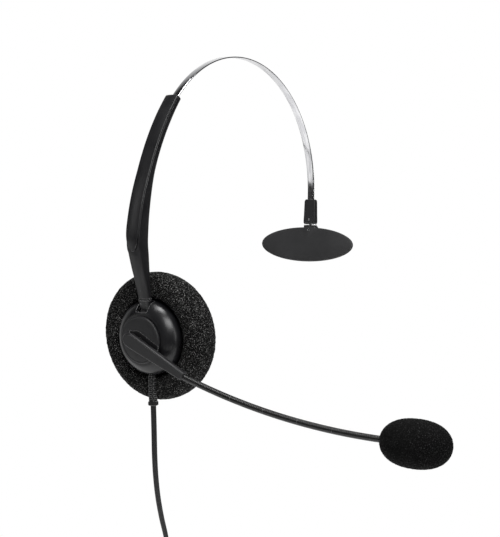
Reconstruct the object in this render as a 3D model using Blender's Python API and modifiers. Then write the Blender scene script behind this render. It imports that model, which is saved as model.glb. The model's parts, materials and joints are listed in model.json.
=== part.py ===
"""Monaural office headset: spring-steel headband, sliding arm, tilting ear cup, swinging microphone boom.

Axes: +Z up, the wearer faces -Y, the ear cup is on the -X side and the temple pad on the +X side.
The origin is the crown of the headband, on the surface that touches the head. Units are metres.
"""

import math

import bmesh
import bpy
from mathutils import Matrix, Vector

MM = 0.001
CLEARANCE = 0.3 * MM  # between pieces that touch or slide
COLLECTION_NAME = "office_headset"

# Headband: one steel strip, a head arc, a slider arc inside the arm and a short straight tail
HEAD_RADIUS = 66.15 * MM  # inner surface of the head arc
STRIP_THICKNESS = 0.6 * MM
STRIP_WIDTH = 4.0 * MM
HEAD_ARC_LEFT = math.radians(142.7)  # where the slider arc takes over
HEAD_ARC_RIGHT = math.radians(-2.0)  # where the straight tail takes over
SLIDER_RADIUS = 114.2 * MM  # centreline of the strip inside the arm
SLIDER_TRAVEL = 28.0 * MM
STRIP_IN_SLEEVE = 43.2 * MM  # length of strip beyond the arm's mouth
STRIP_TAIL = 11.0 * MM
RIVET_RADIUS = 0.7 * MM
RIVET_HEAD_RADIUS = 1.35 * MM
RIVET_HEAD = 0.4 * MM
RIVET_FROM_END = 2.4 * MM

# Arm: a long tapering shell with a separate outer cover
MOUTH_LEAD = 6.8 * MM  # the arm starts this far before the slider arc
ARM_RISE = 0.6 * MM  # the arm's middle stands outside the strip by this
ARM_ARC_LENGTH = 71.5 * MM
ARM_BEND_RADIUS = 20.0 * MM
ARM_TAIL_LENGTH = 22.8 * MM
ARM_TAIL_LEAN = math.radians(12.5)
ARM_WIDTH = 7.4 * MM
ARM_NECK_WIDTH = 6.2 * MM
ARM_THICKNESS = (  # share of the arm's length, thickness
    (0.00, 3.8 * MM),
    (0.12, 4.3 * MM),
    (0.40, 5.0 * MM),
    (0.53, 6.8 * MM),
    (0.63, 7.9 * MM),
    (0.72, 8.7 * MM),
    (0.78, 8.2 * MM),
    (0.86, 6.4 * MM),
    (0.93, 4.6 * MM),
    (1.00, 3.5 * MM),
)
STEEP_CHANGE = 1.5 * MM  # a larger change than this between two rows is eased
COVER_THICKNESS = 0.9 * MM
COVER_LENGTH = 77.2 * MM
COVER_TIP = 6.0 * MM  # length over which the cover's lower end narrows
COVER_STEP = 0.4 * MM  # the cover stands this far above the shell below its end
ARM_CORNER = 1.2 * MM
MOUTH_SLOT_LENGTH = 10.2 * MM
MOUTH_SLOT = 1.3 * MM
CHAMBER_SLOT = 2.1 * MM
CHAMBER_LENGTH = 46.0 * MM
FRICTION_SPRING_LENGTH = 7.4 * MM
FRICTION_SPRING_BOW = 0.45 * MM
FRICTION_SPRING_THICKNESS = 0.25 * MM

# Neck between the arm and the ear cup
NECK_WIDTH = 6.1 * MM
NECK_THICKNESS = 3.2 * MM
NECK_LENGTH = 7.1 * MM  # seam to tilt pin
NECK_BARREL_RADIUS = 1.9 * MM
STEM_RADIUS = 1.0 * MM
STEM_HEIGHT = 5.9 * MM
STEM_GROOVE_RADIUS = 0.6 * MM
STEM_GROOVE_HEIGHT = 0.8 * MM
STEM_CLIP_RADIUS = 1.6 * MM
TILT_PIN_RADIUS = 0.7 * MM
TILT_PIN_LENGTH = 10.0 * MM
PIN_GAP = 0.15 * MM

# Ear cup, in its own frame: x forward, y up, z outward from the ear, origin in the cushion's middle
CUP_LEAN = math.radians(3.3)
TILT_PIN_OUT = 8.4 * MM
SHELL_RADIUS = 17.6 * MM
TILT_PIN_UP = SHELL_RADIUS - 5.6 * MM
SHELL_WALL = 1.4 * MM
SHELL_SHOULDER = 6.0 * MM  # height where the dome starts
SHELL_TOP = 13.0 * MM
DOME_HEIGHT = 9.84 * MM  # semi-axis of the dome's ellipse
NOTCH_FLOOR = 6.2 * MM
LUG_THICKNESS = 1.6 * MM
BAFFLE_RADIUS = SHELL_RADIUS + 3.9 * MM
BAFFLE_THICKNESS = 1.5 * MM
BAFFLE_TOP = -1.5 * MM
SCREW_CIRCLE = SHELL_RADIUS - 2.6 * MM
SCREW_RADIUS = 0.65 * MM
SCREW_HEAD_RADIUS = 1.4 * MM
SCREW_HEAD = 0.6 * MM
SCREW_LENGTH = 5.5 * MM
BOSS_RADIUS = 1.5 * MM
BOSS_HEIGHT = 4.2 * MM
CUSHION_RADIUS = SHELL_RADIUS + 12.4 * MM
CUSHION_BACK = 7.4 * MM
CUSHION_FRONT = 11.0 * MM
CUSHION_EAR_HOLE = 12.0 * MM
CUSHION_BACK_GAP = 0.7 * MM  # between the dome and the cushion's rear hole
SPEAKER_RADIUS = 13.2 * MM
COIL_RADIUS = 6.4 * MM
MAGNET_RADIUS = 5.4 * MM
DUST_SCREEN_THICKNESS = 0.4 * MM

# Boom: disc, lever, jointed gooseneck and microphone, in the boom frame: x along the lever
BOOM_DROP = math.radians(-25.6)  # lever below the forward direction
DISC_RADIUS = 11.1 * MM
DISC_THICKNESS = 1.3 * MM
SHAFT_RADIUS = 2.9 * MM
SHAFT_DEPTH = 3.8 * MM
SHAFT_GROOVE_RADIUS = 2.2 * MM
SHAFT_BORE = 1.1 * MM
WASHER_THICKNESS = 0.4 * MM
LEVER_OFFSET = -1.9 * MM  # the lever's line passes this far from the pivot
LEVER_REAR = 7.8 * MM
LEVER_TIP = 30.4 * MM
LEVER_HALF_WIDTH = 3.4 * MM
LEVER_TIP_HALF_WIDTH = 2.0 * MM
LEVER_THICKNESS = 2.6 * MM
GOOSENECK_RADIUS = 1.5 * MM
GOOSENECK_CURVE = 350.0 * MM
GOOSENECK_START_HEADING = math.radians(7.1)
GOOSENECK_LENGTH = 109.0 * MM
GOOSENECK_SEGMENTS = 6
WINDSCREEN_LENGTH = 32.2 * MM
WINDSCREEN_RADIUS = 10.4 * MM
WINDSCREEN_OVERLAP = 2.7 * MM  # length of gooseneck inside the foam
CAPSULE_RADIUS = 4.2 * MM
CAPSULE_LENGTH = 15.0 * MM
CAPSULE_WALL = 0.9 * MM

# Cord
RELIEF_OUT = 5.9 * MM  # height of its axis in the ear cup's frame
RELIEF_RADIUS = 2.1 * MM
RELIEF_LENGTH = 13.8 * MM
RELIEF_RIBS = 6
RELIEF_LEAN = math.radians(-1.0)
CORD_DIAMETER = 2.6 * MM
CORD_ROUTE = (  # offsets from the strain relief's end, x and z
    (0.0, 0.0),
    (0.25 * MM, -6.0 * MM),
    (0.5 * MM, -14.0 * MM),
    (0.8 * MM, -24.0 * MM),
    (1.6 * MM, -34.0 * MM),
    (3.2 * MM, -44.0 * MM),
    (5.8 * MM, -54.0 * MM),
    (8.8 * MM, -63.0 * MM),
    (11.0 * MM, -72.0 * MM),
)
HANK_RUN = 39.0 * MM  # straight length of its turns
HANK_FOLD_RADIUS = 10.5 * MM  # of the outermost turn
HANK_LAYERS = 4  # the cord enters the outermost
TIE_HEIGHT = 5.0 * MM
TIE_WALL = 0.7 * MM
PLUG_LEAD = 9.0 * MM  # cord between the hank and the plug
PLUG_LENGTH = 30.0 * MM
PLUG_WIDTH = 9.5 * MM
PLUG_DEPTH = 7.0 * MM
PLUG_WALL = 1.3 * MM
PLUG_RELIEF_LENGTH = 9.0 * MM
PLUG_TONGUE = 6.5 * MM

# Temple pad and its holder
HOLDER_WIDTH = 7.1 * MM
HOLDER_THICKNESS = 3.2 * MM
HOLDER_LENGTH = 12.4 * MM
HOLDER_START = 2.6 * MM  # along the strip's straight tail
HOLDER_SLOT_DEPTH = 8.6 * MM
SWIVEL_RADIUS = 0.7 * MM
SWIVEL_GROOVE_RADIUS = 0.4 * MM
SWIVEL_DEPTH = 3.2 * MM
SWIVEL_PLATE = 0.4 * MM
CROSS_PIN_RADIUS = 0.35 * MM
PAD_LEAN = math.radians(17.0)
PAD_HALF_LENGTH = 28.4 * MM
PAD_HALF_HEIGHT = 9.2 * MM
PAD_DROP = 10.9 * MM  # pad centre below the holder's end
PAD_INSET = 3.9 * MM  # pad face centre inward of the holder's axis
PAD_CUSHION_THICKNESS = 1.7 * MM
PAD_PLATE_THICKNESS = 1.6 * MM
PAD_PLATE_INSET = 1.3 * MM  # the back plate is smaller than the face by this all round
PAD_TAB_WIDTH = 7.0 * MM

FORWARD = Vector((0.0, -1.0, 0.0))
ALONG_X = Matrix.Rotation(math.pi / 2, 4, "Y")  # turns a piece's z axis to x
ALONG_DOWN = Matrix.Rotation(math.pi / 2, 4, "X")  # turns a piece's z axis to -y


def clear_scene():
    """Removes every object of the startup scene."""
    for obj in list(bpy.data.objects):
        bpy.data.objects.remove(obj, do_unlink=True)


def collection(name):
    """A new collection in the scene."""
    made = bpy.data.collections.new(name)
    bpy.context.scene.collection.children.link(made)
    return made


def material(name, colour, roughness, metallic=0.0):
    """A plain Principled material."""
    made = bpy.data.materials.new(name)
    made.use_nodes = True
    shader = made.node_tree.nodes["Principled BSDF"]
    shader.inputs["Base Color"].default_value = (*colour, 1.0)
    shader.inputs["Roughness"].default_value = roughness
    shader.inputs["Metallic"].default_value = metallic
    return made


class Frame:
    """A coordinate frame: an empty in the scene and its place in the world."""

    def __init__(self, name, world, parent=None):
        self.world = world.copy()
        self.empty = bpy.data.objects.new(name, None)
        PARTS.objects.link(self.empty)
        if parent is None:
            self.empty.matrix_basis = world
        else:
            self.empty.parent = parent.empty
            self.empty.matrix_basis = parent.world.inverted() @ world


def axes(origin, x, y, z):
    """The matrix whose columns are the three axes, at origin."""
    matrix = Matrix((x, y, z)).transposed().to_4x4()
    matrix.translation = origin
    return matrix


def put(obj, frame, finish, place=None):
    """Links a piece into the part, in a frame, with its material."""
    PARTS.objects.link(obj)
    obj.parent = frame.empty
    obj.matrix_basis = place or Matrix.Identity(4)
    obj.data.materials.append(finish)
    return obj


def helper(obj, frame, place=None):
    """Links a cutter or a shape that a Boolean joins: it isn't part of the object."""
    HELPERS.objects.link(obj)
    obj.parent = frame.empty
    obj.matrix_basis = place or Matrix.Identity(4)
    obj.hide_render = True
    obj.display_type = "WIRE"
    return obj


def mesh_object(name, work):
    """An object from a bmesh, shaded smooth with sharp edges kept."""
    bmesh.ops.recalc_face_normals(work, faces=work.faces)
    data = bpy.data.meshes.new(name)
    work.to_mesh(data)
    work.free()
    data.shade_smooth()
    data.set_sharp_from_angle(angle=math.radians(35.0))
    return bpy.data.objects.new(name, data)


def box(name, size, centre=(0.0, 0.0, 0.0), rounding=0.0):
    """A box of that size, its edges rounded by a Bevel modifier."""
    work = bmesh.new()
    bmesh.ops.create_cube(work, size=1.0)
    bmesh.ops.scale(work, vec=size, verts=work.verts)
    bmesh.ops.translate(work, vec=centre, verts=work.verts)
    obj = mesh_object(name, work)
    if rounding:
        bevel(obj, rounding)
    return obj


def bevel(obj, width, segments=2):
    """Rounds the edges of a piece."""
    rounding = obj.modifiers.new("rounding", "BEVEL")
    rounding.width = width
    rounding.segments = segments
    rounding.limit_method = "ANGLE"


def cylinder(name, radius, low, high, segments=16, top_radius=None):
    """A cylinder or cone along z, from height low to height high."""
    work = bmesh.new()
    bmesh.ops.create_cone(
        work,
        cap_ends=True,
        segments=segments,
        radius1=radius,
        radius2=radius if top_radius is None else top_radius,
        depth=high - low,
        matrix=Matrix.Translation((0.0, 0.0, (low + high) / 2)),
    )
    return mesh_object(name, work)


def turned(name, profile, steps, ring=False):
    """A profile of (radius, height) points turned about z. It runs down its outer side; a ring's profile is closed."""
    data = bpy.data.meshes.new(name)
    points = [(radius, 0.0, height) for radius, height in profile]
    edges = [(i, i + 1) for i in range(len(points) - 1)]
    if ring:
        edges.append((len(points) - 1, 0))
    data.from_pydata(points, edges, [])
    obj = bpy.data.objects.new(name, data)
    screw = obj.modifiers.new("turn", "SCREW")
    screw.axis = "Z"
    screw.steps = screw.render_steps = steps
    screw.use_merge_vertices = True
    screw.merge_threshold = 1e-6
    screw.use_smooth_shade = True
    return obj


def outline(name, points, low, high, rounding=0.0):
    """A closed flat outline, extruded from height low to height high."""
    data = bpy.data.curves.new(name, "CURVE")
    data.dimensions = "2D"
    data.fill_mode = "BOTH"
    data.extrude = (high - low) / 2
    spline = data.splines.new("POLY")
    spline.points.add(len(points) - 1)
    for point, (x, y) in zip(spline.points, points):
        point.co = (x, y, 0.0, 1.0)
    spline.use_cyclic_u = True
    obj = as_mesh(bpy.data.objects.new(name, data))
    obj.data.transform(Matrix.Translation((0.0, 0.0, (low + high) / 2)))
    if rounding:
        bevel(obj, rounding)
    return obj


def tube(name, points, radius, resolution=2):
    """A round tube along a run of points."""
    data = bpy.data.curves.new(name, "CURVE")
    data.dimensions = "3D"
    data.bevel_depth = radius
    data.bevel_resolution = resolution
    data.use_fill_caps = True
    spline = data.splines.new("POLY")
    spline.points.add(len(points) - 1)
    for point, co in zip(spline.points, points):
        point.co = (*co, 1.0)
    return bpy.data.objects.new(name, data)


def as_mesh(obj):
    """A curve's solid as a mesh object, so that Boolean and Bevel modifiers can work on it."""
    bpy.context.scene.collection.objects.link(obj)
    graph = bpy.context.evaluated_depsgraph_get()
    data = bpy.data.meshes.new_from_object(obj.evaluated_get(graph))
    name, source = obj.name, obj.data
    bpy.data.objects.remove(obj)
    bpy.data.curves.remove(source)
    work = bmesh.new()
    work.from_mesh(data)
    bmesh.ops.remove_doubles(work, verts=work.verts, dist=1e-6)
    bmesh.ops.recalc_face_normals(work, faces=work.faces)
    work.to_mesh(data)
    work.free()
    data.name = name
    return bpy.data.objects.new(name, data)


def loft(name, rings):
    """A skin over rings of points, closed at both ends."""
    work = bmesh.new()
    rows = [[work.verts.new(point) for point in ring] for ring in rings]
    count = len(rows[0])
    for lower, upper in zip(rows, rows[1:]):
        for i in range(count):
            j = (i + 1) % count
            work.faces.new((lower[i], lower[j], upper[j], upper[i]))
    work.faces.new(rows[0][::-1])
    work.faces.new(rows[-1])
    return mesh_object(name, work)


def combine(obj, other, operation="DIFFERENCE"):
    """Cuts a helper from a piece, or joins it to the piece."""
    boolean = obj.modifiers.new(other.name, "BOOLEAN")
    boolean.operation = operation
    boolean.object = other
    boolean.solver = "EXACT"
    return obj


def smooth_route(points, spacing):
    """Points at about that spacing on a smooth curve through the given points."""
    points = [Vector(point) for point in points]
    ends = [points[0] * 2 - points[1], *points, points[-1] * 2 - points[-2]]
    found = [points[0]]
    for before, start, end, after in zip(ends, ends[1:], ends[2:], ends[3:]):
        steps = max(1, round((end - start).length / spacing))
        for step in range(1, steps + 1):
            t = step / steps
            found.append(
                0.5
                * (
                    2 * start
                    + (end - before) * t
                    + (2 * before - 5 * start + 4 * end - after) * t**2
                    + (3 * start - before - 3 * end + after) * t**3
                )
            )
    return found


def eased(table, share):
    """The value of a (share, value) table at that share, easing between its rows."""
    for (low, first), (high, second) in zip(table, table[1:]):
        if share <= high:
            t = (share - low) / (high - low)
            if abs(second - first) > STEEP_CHANGE:
                t = t * t * (3 - 2 * t)
            return first + (second - first) * t
    return table[-1][1]


def arc_points(radius_x, radius_y, start, end, count, centre=(0.0, 0.0), power=2.0):
    """Points on an arc of an ellipse, or of a squarer superellipse for a power over 2."""
    found = []
    for i in range(count + 1):
        angle = start + (end - start) * i / count
        across = math.copysign(abs(math.cos(angle)) ** (2 / power), math.cos(angle))
        along = math.copysign(abs(math.sin(angle)) ** (2 / power), math.sin(angle))
        found.append((centre[0] + radius_x * across, centre[1] + radius_y * along))
    return found


def racetrack(half_run, radius, count=8):
    """An outline of two straight runs along x and two half-round ends."""
    right = arc_points(radius, radius, -math.pi / 2, math.pi / 2, count, (half_run, 0.0))
    left = arc_points(radius, radius, math.pi / 2, 3 * math.pi / 2, count, (-half_run, 0.0))
    return right + left


# ---------------------------------------------------------------- headband geometry

STRIP_HEAD_RADIUS = HEAD_RADIUS + STRIP_THICKNESS / 2
HEAD_CENTRE = Vector((0.0, 0.0, -HEAD_RADIUS))
ARM_CENTRE = HEAD_CENTRE - (SLIDER_RADIUS - STRIP_HEAD_RADIUS) * Vector(
    (math.cos(HEAD_ARC_LEFT), 0.0, math.sin(HEAD_ARC_LEFT))
)
STRIP_END = STRIP_IN_SLEEVE - MOUTH_LEAD


def strip_point(distance):
    """The strip's middle and its outward normal, at a distance below the start of the slider arc."""
    if distance > 0:
        centre, radius, angle = ARM_CENTRE, SLIDER_RADIUS, HEAD_ARC_LEFT + distance / SLIDER_RADIUS
    else:
        centre, radius = HEAD_CENTRE, STRIP_HEAD_RADIUS
        angle = HEAD_ARC_LEFT + distance / STRIP_HEAD_RADIUS
    normal = Vector((math.cos(angle), 0.0, math.sin(angle)))
    return centre + radius * normal, normal


def strip_band(start, end, low, high, step, tail=0.0):
    """The closed outline, in x and z, of a band along the strip, between two heights above its middle.

    A tail runs straight on from its start.
    """
    count = max(1, round((end - start) / step))
    places = [strip_point(start + (end - start) * i / count) for i in range(count + 1)]
    if tail:
        point, normal = places[0]
        along = Vector((normal.z, 0.0, -normal.x))
        places.insert(0, (point + along * tail, normal))
    outer = [point + normal * high for point, normal in places]
    inner = [point + normal * low for point, normal in places]
    return [(point.x, point.z) for point in outer + inner[::-1]]


def band_solid(name, points, width):
    """An outline in the x-z plane, given the strip's kind of width along y."""
    obj = outline(name, points, -width / 2, width / 2)
    obj.data.transform(Matrix.Rotation(math.pi / 2, 4, "X"))
    return obj


def tail_frame_matrix():
    """The temple pad's frame at the holder's lower end: x backward, y inward, z up along the strip's tail."""
    span = (HEAD_ARC_LEFT - HEAD_ARC_RIGHT) * STRIP_HEAD_RADIUS
    point, normal = strip_point(-span)
    up = Vector((-normal.z, 0.0, normal.x))
    origin = point - up * (HOLDER_START + HOLDER_LENGTH)
    return axes(origin, -FORWARD, up.cross(-FORWARD), up)


def build_headband(root):
    """The steel strip with the rivet that stops it at the arm's mouth."""
    span = (HEAD_ARC_LEFT - HEAD_ARC_RIGHT) * STRIP_HEAD_RADIUS
    half = STRIP_THICKNESS / 2
    points = strip_band(-span, STRIP_END, -half, half, 4.0 * MM, STRIP_TAIL)
    strip = put(band_solid("headband_strip", points, STRIP_WIDTH), root, STEEL)
    place, normal = strip_point(STRIP_END - RIVET_FROM_END)
    across = Vector((0.0, 1.0, 0.0))
    matrix = axes(place, across, normal.cross(across), normal)
    hole = cylinder("rivet_hole", RIVET_RADIUS + PIN_GAP, -2 * MM, 2 * MM)
    combine(strip, helper(hole, root, matrix))
    reach = STRIP_THICKNESS / 2 + PIN_GAP
    upper = [
        (0.0, reach + RIVET_HEAD),
        (RIVET_HEAD_RADIUS, reach + RIVET_HEAD),
        (RIVET_HEAD_RADIUS, reach),
        (RIVET_RADIUS, reach),
    ]
    profile = upper + [(radius, -height) for radius, height in upper[::-1]]
    put(turned("strip_stop_rivet", profile, 12), root, STEEL, matrix)


# ---------------------------------------------------------------- arm

ARM_RADIUS = SLIDER_RADIUS + ARM_RISE
ARM_MOUTH_ANGLE = HEAD_ARC_LEFT - MOUTH_LEAD / SLIDER_RADIUS
ARM_ARC_END = ARM_MOUTH_ANGLE + ARM_ARC_LENGTH / ARM_RADIUS
ARM_TAIL_HEADING = math.radians(270.0) + ARM_TAIL_LEAN
ARM_BEND = ARM_TAIL_HEADING - (ARM_ARC_END + math.pi / 2)
ARM_BEND_LENGTH = ARM_BEND * ARM_BEND_RADIUS
ARM_LENGTH = ARM_ARC_LENGTH + ARM_BEND_LENGTH + ARM_TAIL_LENGTH


def arm_point(distance):
    """The arm's middle line in the arm's frame and its outward normal, at a distance below the mouth."""

    def direction(angle):
        return Vector((math.cos(angle), 0.0, math.sin(angle)))

    if distance <= ARM_ARC_LENGTH:
        normal = direction(ARM_MOUTH_ANGLE + distance / ARM_RADIUS)
        return normal * ARM_RADIUS, normal
    start = direction(ARM_ARC_END)
    centre = start * (ARM_RADIUS - ARM_BEND_RADIUS)
    along = min(distance - ARM_ARC_LENGTH, ARM_BEND_LENGTH)
    normal = direction(ARM_ARC_END + along / ARM_BEND_RADIUS)
    point = centre + normal * ARM_BEND_RADIUS
    rest = distance - ARM_ARC_LENGTH - along
    return point + direction(ARM_TAIL_HEADING) * rest, normal


def arm_width(distance):
    """The arm's width, which narrows below the cover."""
    share = max(0.0, (distance - COVER_LENGTH) / (ARM_LENGTH - COVER_LENGTH))
    return ARM_WIDTH + (ARM_NECK_WIDTH - ARM_WIDTH) * share


def section(distance, half_width, low, high, low_corner, high_corner, count=3):
    """A ring of points round the arm at a distance: a rectangle whose corners are rounded."""
    point, normal = arm_point(distance)
    ring = []
    for sign_a, sign_b, corner in (
        (1, 1, high_corner),
        (-1, 1, high_corner),
        (-1, -1, low_corner),
        (1, -1, low_corner),
    ):
        edge = high if sign_b > 0 else low
        middle = (sign_a * (half_width - corner), edge - sign_b * corner)
        turn = math.atan2(sign_b, sign_a) - math.pi / 4
        for a, b in arc_points(corner, corner, turn, turn + math.pi / 2, count, middle):
            ring.append(point + normal * b + Vector((0.0, a, 0.0)))
    return ring


def build_arm(arm):
    """The inner shell with the strip's channel, the outer cover, and the spring that grips the strip."""
    shell_rings = []
    stations = 34
    for i in range(stations + 1):
        distance = ARM_LENGTH * i / stations
        thickness = eased(ARM_THICKNESS, distance / ARM_LENGTH)
        half_width = arm_width(distance) / 2
        covered = distance <= COVER_LENGTH + CLEARANCE
        below = min(1.0, max(0.0, (distance - COVER_LENGTH) / COVER_TIP))
        step = COVER_THICKNESS + CLEARANCE if covered else COVER_STEP * (1 - below)
        corner = 0.3 * MM if covered else min(ARM_CORNER, thickness / 2 - 0.1 * MM)
        shell_rings.append(
            section(distance, half_width, -thickness / 2, thickness / 2 - step, ARM_CORNER, corner)
        )
    shell = put(loft("arm_inner_shell", shell_rings), arm, SATIN_BLACK)

    cover_rings = []
    stations = 22
    for i in range(stations + 1):
        distance = COVER_LENGTH * i / stations
        thickness = eased(ARM_THICKNESS, distance / ARM_LENGTH)
        into_tip = max(0.0, (distance - COVER_LENGTH + COVER_TIP) / COVER_TIP)
        narrowing = math.sqrt(1 - (0.93 * into_tip) ** 2)
        half_width = arm_width(distance) / 2 * narrowing
        top = thickness / 2 - 0.5 * COVER_THICKNESS * into_tip**2
        low = thickness / 2 - COVER_THICKNESS
        corner = min(0.8 * (top - low), 0.8 * half_width)
        cover_rings.append(section(distance, half_width, low, top, 0.1 * MM, corner))
    put(loft("arm_outer_cover", cover_rings), arm, SATIN_BLACK)

    shift = Matrix.Translation(-ARM_CENTRE)
    mouth_half, chamber_half = MOUTH_SLOT / 2, CHAMBER_SLOT / 2
    chamber_start = MOUTH_SLOT_LENGTH - MOUTH_LEAD
    mouth = strip_band(-MOUTH_LEAD - 4 * MM, chamber_start + 1 * MM, -mouth_half, mouth_half, 3 * MM)
    chamber = strip_band(chamber_start, chamber_start + CHAMBER_LENGTH, -chamber_half, chamber_half, 3 * MM)
    mouth_width = STRIP_WIDTH + 2 * CLEARANCE
    chamber_width = mouth_width + 0.2 * MM
    combine(shell, helper(band_solid("mouth_slot", mouth, mouth_width), arm, shift))
    combine(shell, helper(band_solid("slider_chamber", chamber, chamber_width), arm, shift))
    leaf_end = STRIP_END - RIVET_FROM_END - SLIDER_TRAVEL - RIVET_HEAD_RADIUS - CLEARANCE
    leaf_start = leaf_end - FRICTION_SPRING_LENGTH
    pocket = strip_band(leaf_start - CLEARANCE, leaf_end + CLEARANCE, 0.0, 2.2 * MM, 3 * MM)
    combine(shell, helper(band_solid("spring_pocket", pocket, STRIP_WIDTH), arm, shift))
    neck = neck_matrix()
    in_arm = Matrix.Translation(-ARM_CENTRE) @ neck
    stem_hole = cylinder("stem_hole", STEM_RADIUS + PIN_GAP, -2 * MM, STEM_HEIGHT)
    combine(shell, helper(stem_hole, arm, in_arm))
    clip_room = cylinder(
        "clip_room", STEM_CLIP_RADIUS + CLEARANCE, STEM_HEIGHT - 1.9 * MM, STEM_HEIGHT + CLEARANCE
    )
    combine(shell, helper(clip_room, arm, in_arm))

    low = STRIP_THICKNESS / 2 + PIN_GAP
    leaf = []
    for side in (1, -1):
        row = []
        for i in range(9):
            share = i / 8
            bow = FRICTION_SPRING_BOW * (1 - math.sin(math.pi * share))
            point, normal = strip_point(leaf_start + FRICTION_SPRING_LENGTH * share)
            height = low + bow + (FRICTION_SPRING_THICKNESS if side > 0 else 0.0)
            row.append(point + normal * height)
        leaf += row if side > 0 else row[::-1]
    leaf = [(point.x, point.z) for point in leaf]
    put(band_solid("slider_friction_spring", leaf, STRIP_WIDTH - 2 * CLEARANCE), arm, STEEL, shift)


# ---------------------------------------------------------------- neck and ear cup frames


def neck_matrix():
    """The neck's frame: origin in the seam, z up along the arm's tail, x forward, y inward."""
    point, _ = arm_point(ARM_LENGTH)
    up = Vector((-math.sin(ARM_TAIL_LEAN), 0.0, math.cos(ARM_TAIL_LEAN)))
    return axes(ARM_CENTRE + point, FORWARD, up.cross(FORWARD), up)


def cup_matrix():
    """The ear cup's frame, hung from the tilt pin."""
    up = Vector((-math.sin(CUP_LEAN), 0.0, math.cos(CUP_LEAN)))
    outward = FORWARD.cross(up)
    pin = neck_matrix() @ Vector((0.0, 0.0, -NECK_LENGTH))
    return axes(pin - up * TILT_PIN_UP - outward * TILT_PIN_OUT, FORWARD, up, outward)


def build_neck(neck):
    """The swivelling knuckle with its stem, held in the arm by a clip."""
    blade_top = -CLEARANCE
    blade = box(
        "cup_neck",
        (NECK_WIDTH, NECK_THICKNESS, NECK_LENGTH + blade_top),
        (0.0, 0.0, (blade_top - NECK_LENGTH) / 2),
        0.5 * MM,
    )
    put(blade, neck, SATIN_BLACK)
    barrel = cylinder("neck_barrel", NECK_BARREL_RADIUS, -NECK_WIDTH / 2, NECK_WIDTH / 2)
    pin_place = Matrix.Translation((0.0, 0.0, -NECK_LENGTH)) @ ALONG_X
    combine(blade, helper(barrel, neck, pin_place), "UNION")
    groove_low = STEM_HEIGHT - 0.6 * MM - STEM_GROOVE_HEIGHT
    profile = [
        (0.0, STEM_HEIGHT),
        (STEM_RADIUS, STEM_HEIGHT),
        (STEM_RADIUS, groove_low + STEM_GROOVE_HEIGHT),
        (STEM_GROOVE_RADIUS, groove_low + STEM_GROOVE_HEIGHT),
        (STEM_GROOVE_RADIUS, groove_low),
        (STEM_RADIUS, groove_low),
        (STEM_RADIUS, -1.5 * MM),
        (0.0, -1.5 * MM),
    ]
    combine(blade, helper(turned("neck_stem", profile, 16), neck), "UNION")
    bore = cylinder("neck_bore", TILT_PIN_RADIUS + PIN_GAP, -NECK_WIDTH, NECK_WIDTH)
    combine(blade, helper(bore, neck, pin_place))
    clip_low = groove_low + PIN_GAP
    clip_high = groove_low + STEM_GROOVE_HEIGHT - PIN_GAP
    clip = ring_profile(STEM_GROOVE_RADIUS + 0.1 * MM, STEM_CLIP_RADIUS, clip_low, clip_high)
    put(turned("neck_retaining_clip", clip, 16, ring=True), neck, STEEL)


def ring_profile(inner, outer, low, high):
    """The closed profile of a plain ring."""
    return [(outer, high), (outer, low), (inner, low), (inner, high)]


# ---------------------------------------------------------------- ear cup


def dome_arc(radius, base, height, top, count):
    """Points down the dome's side, from the edge of its flat top to its shoulder."""
    start = math.asin((top - base) / height)
    return [(radius * math.cos(a), base + height * math.sin(a)) for a in
            (start * (count - i) / count for i in range(count + 1))]


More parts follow.
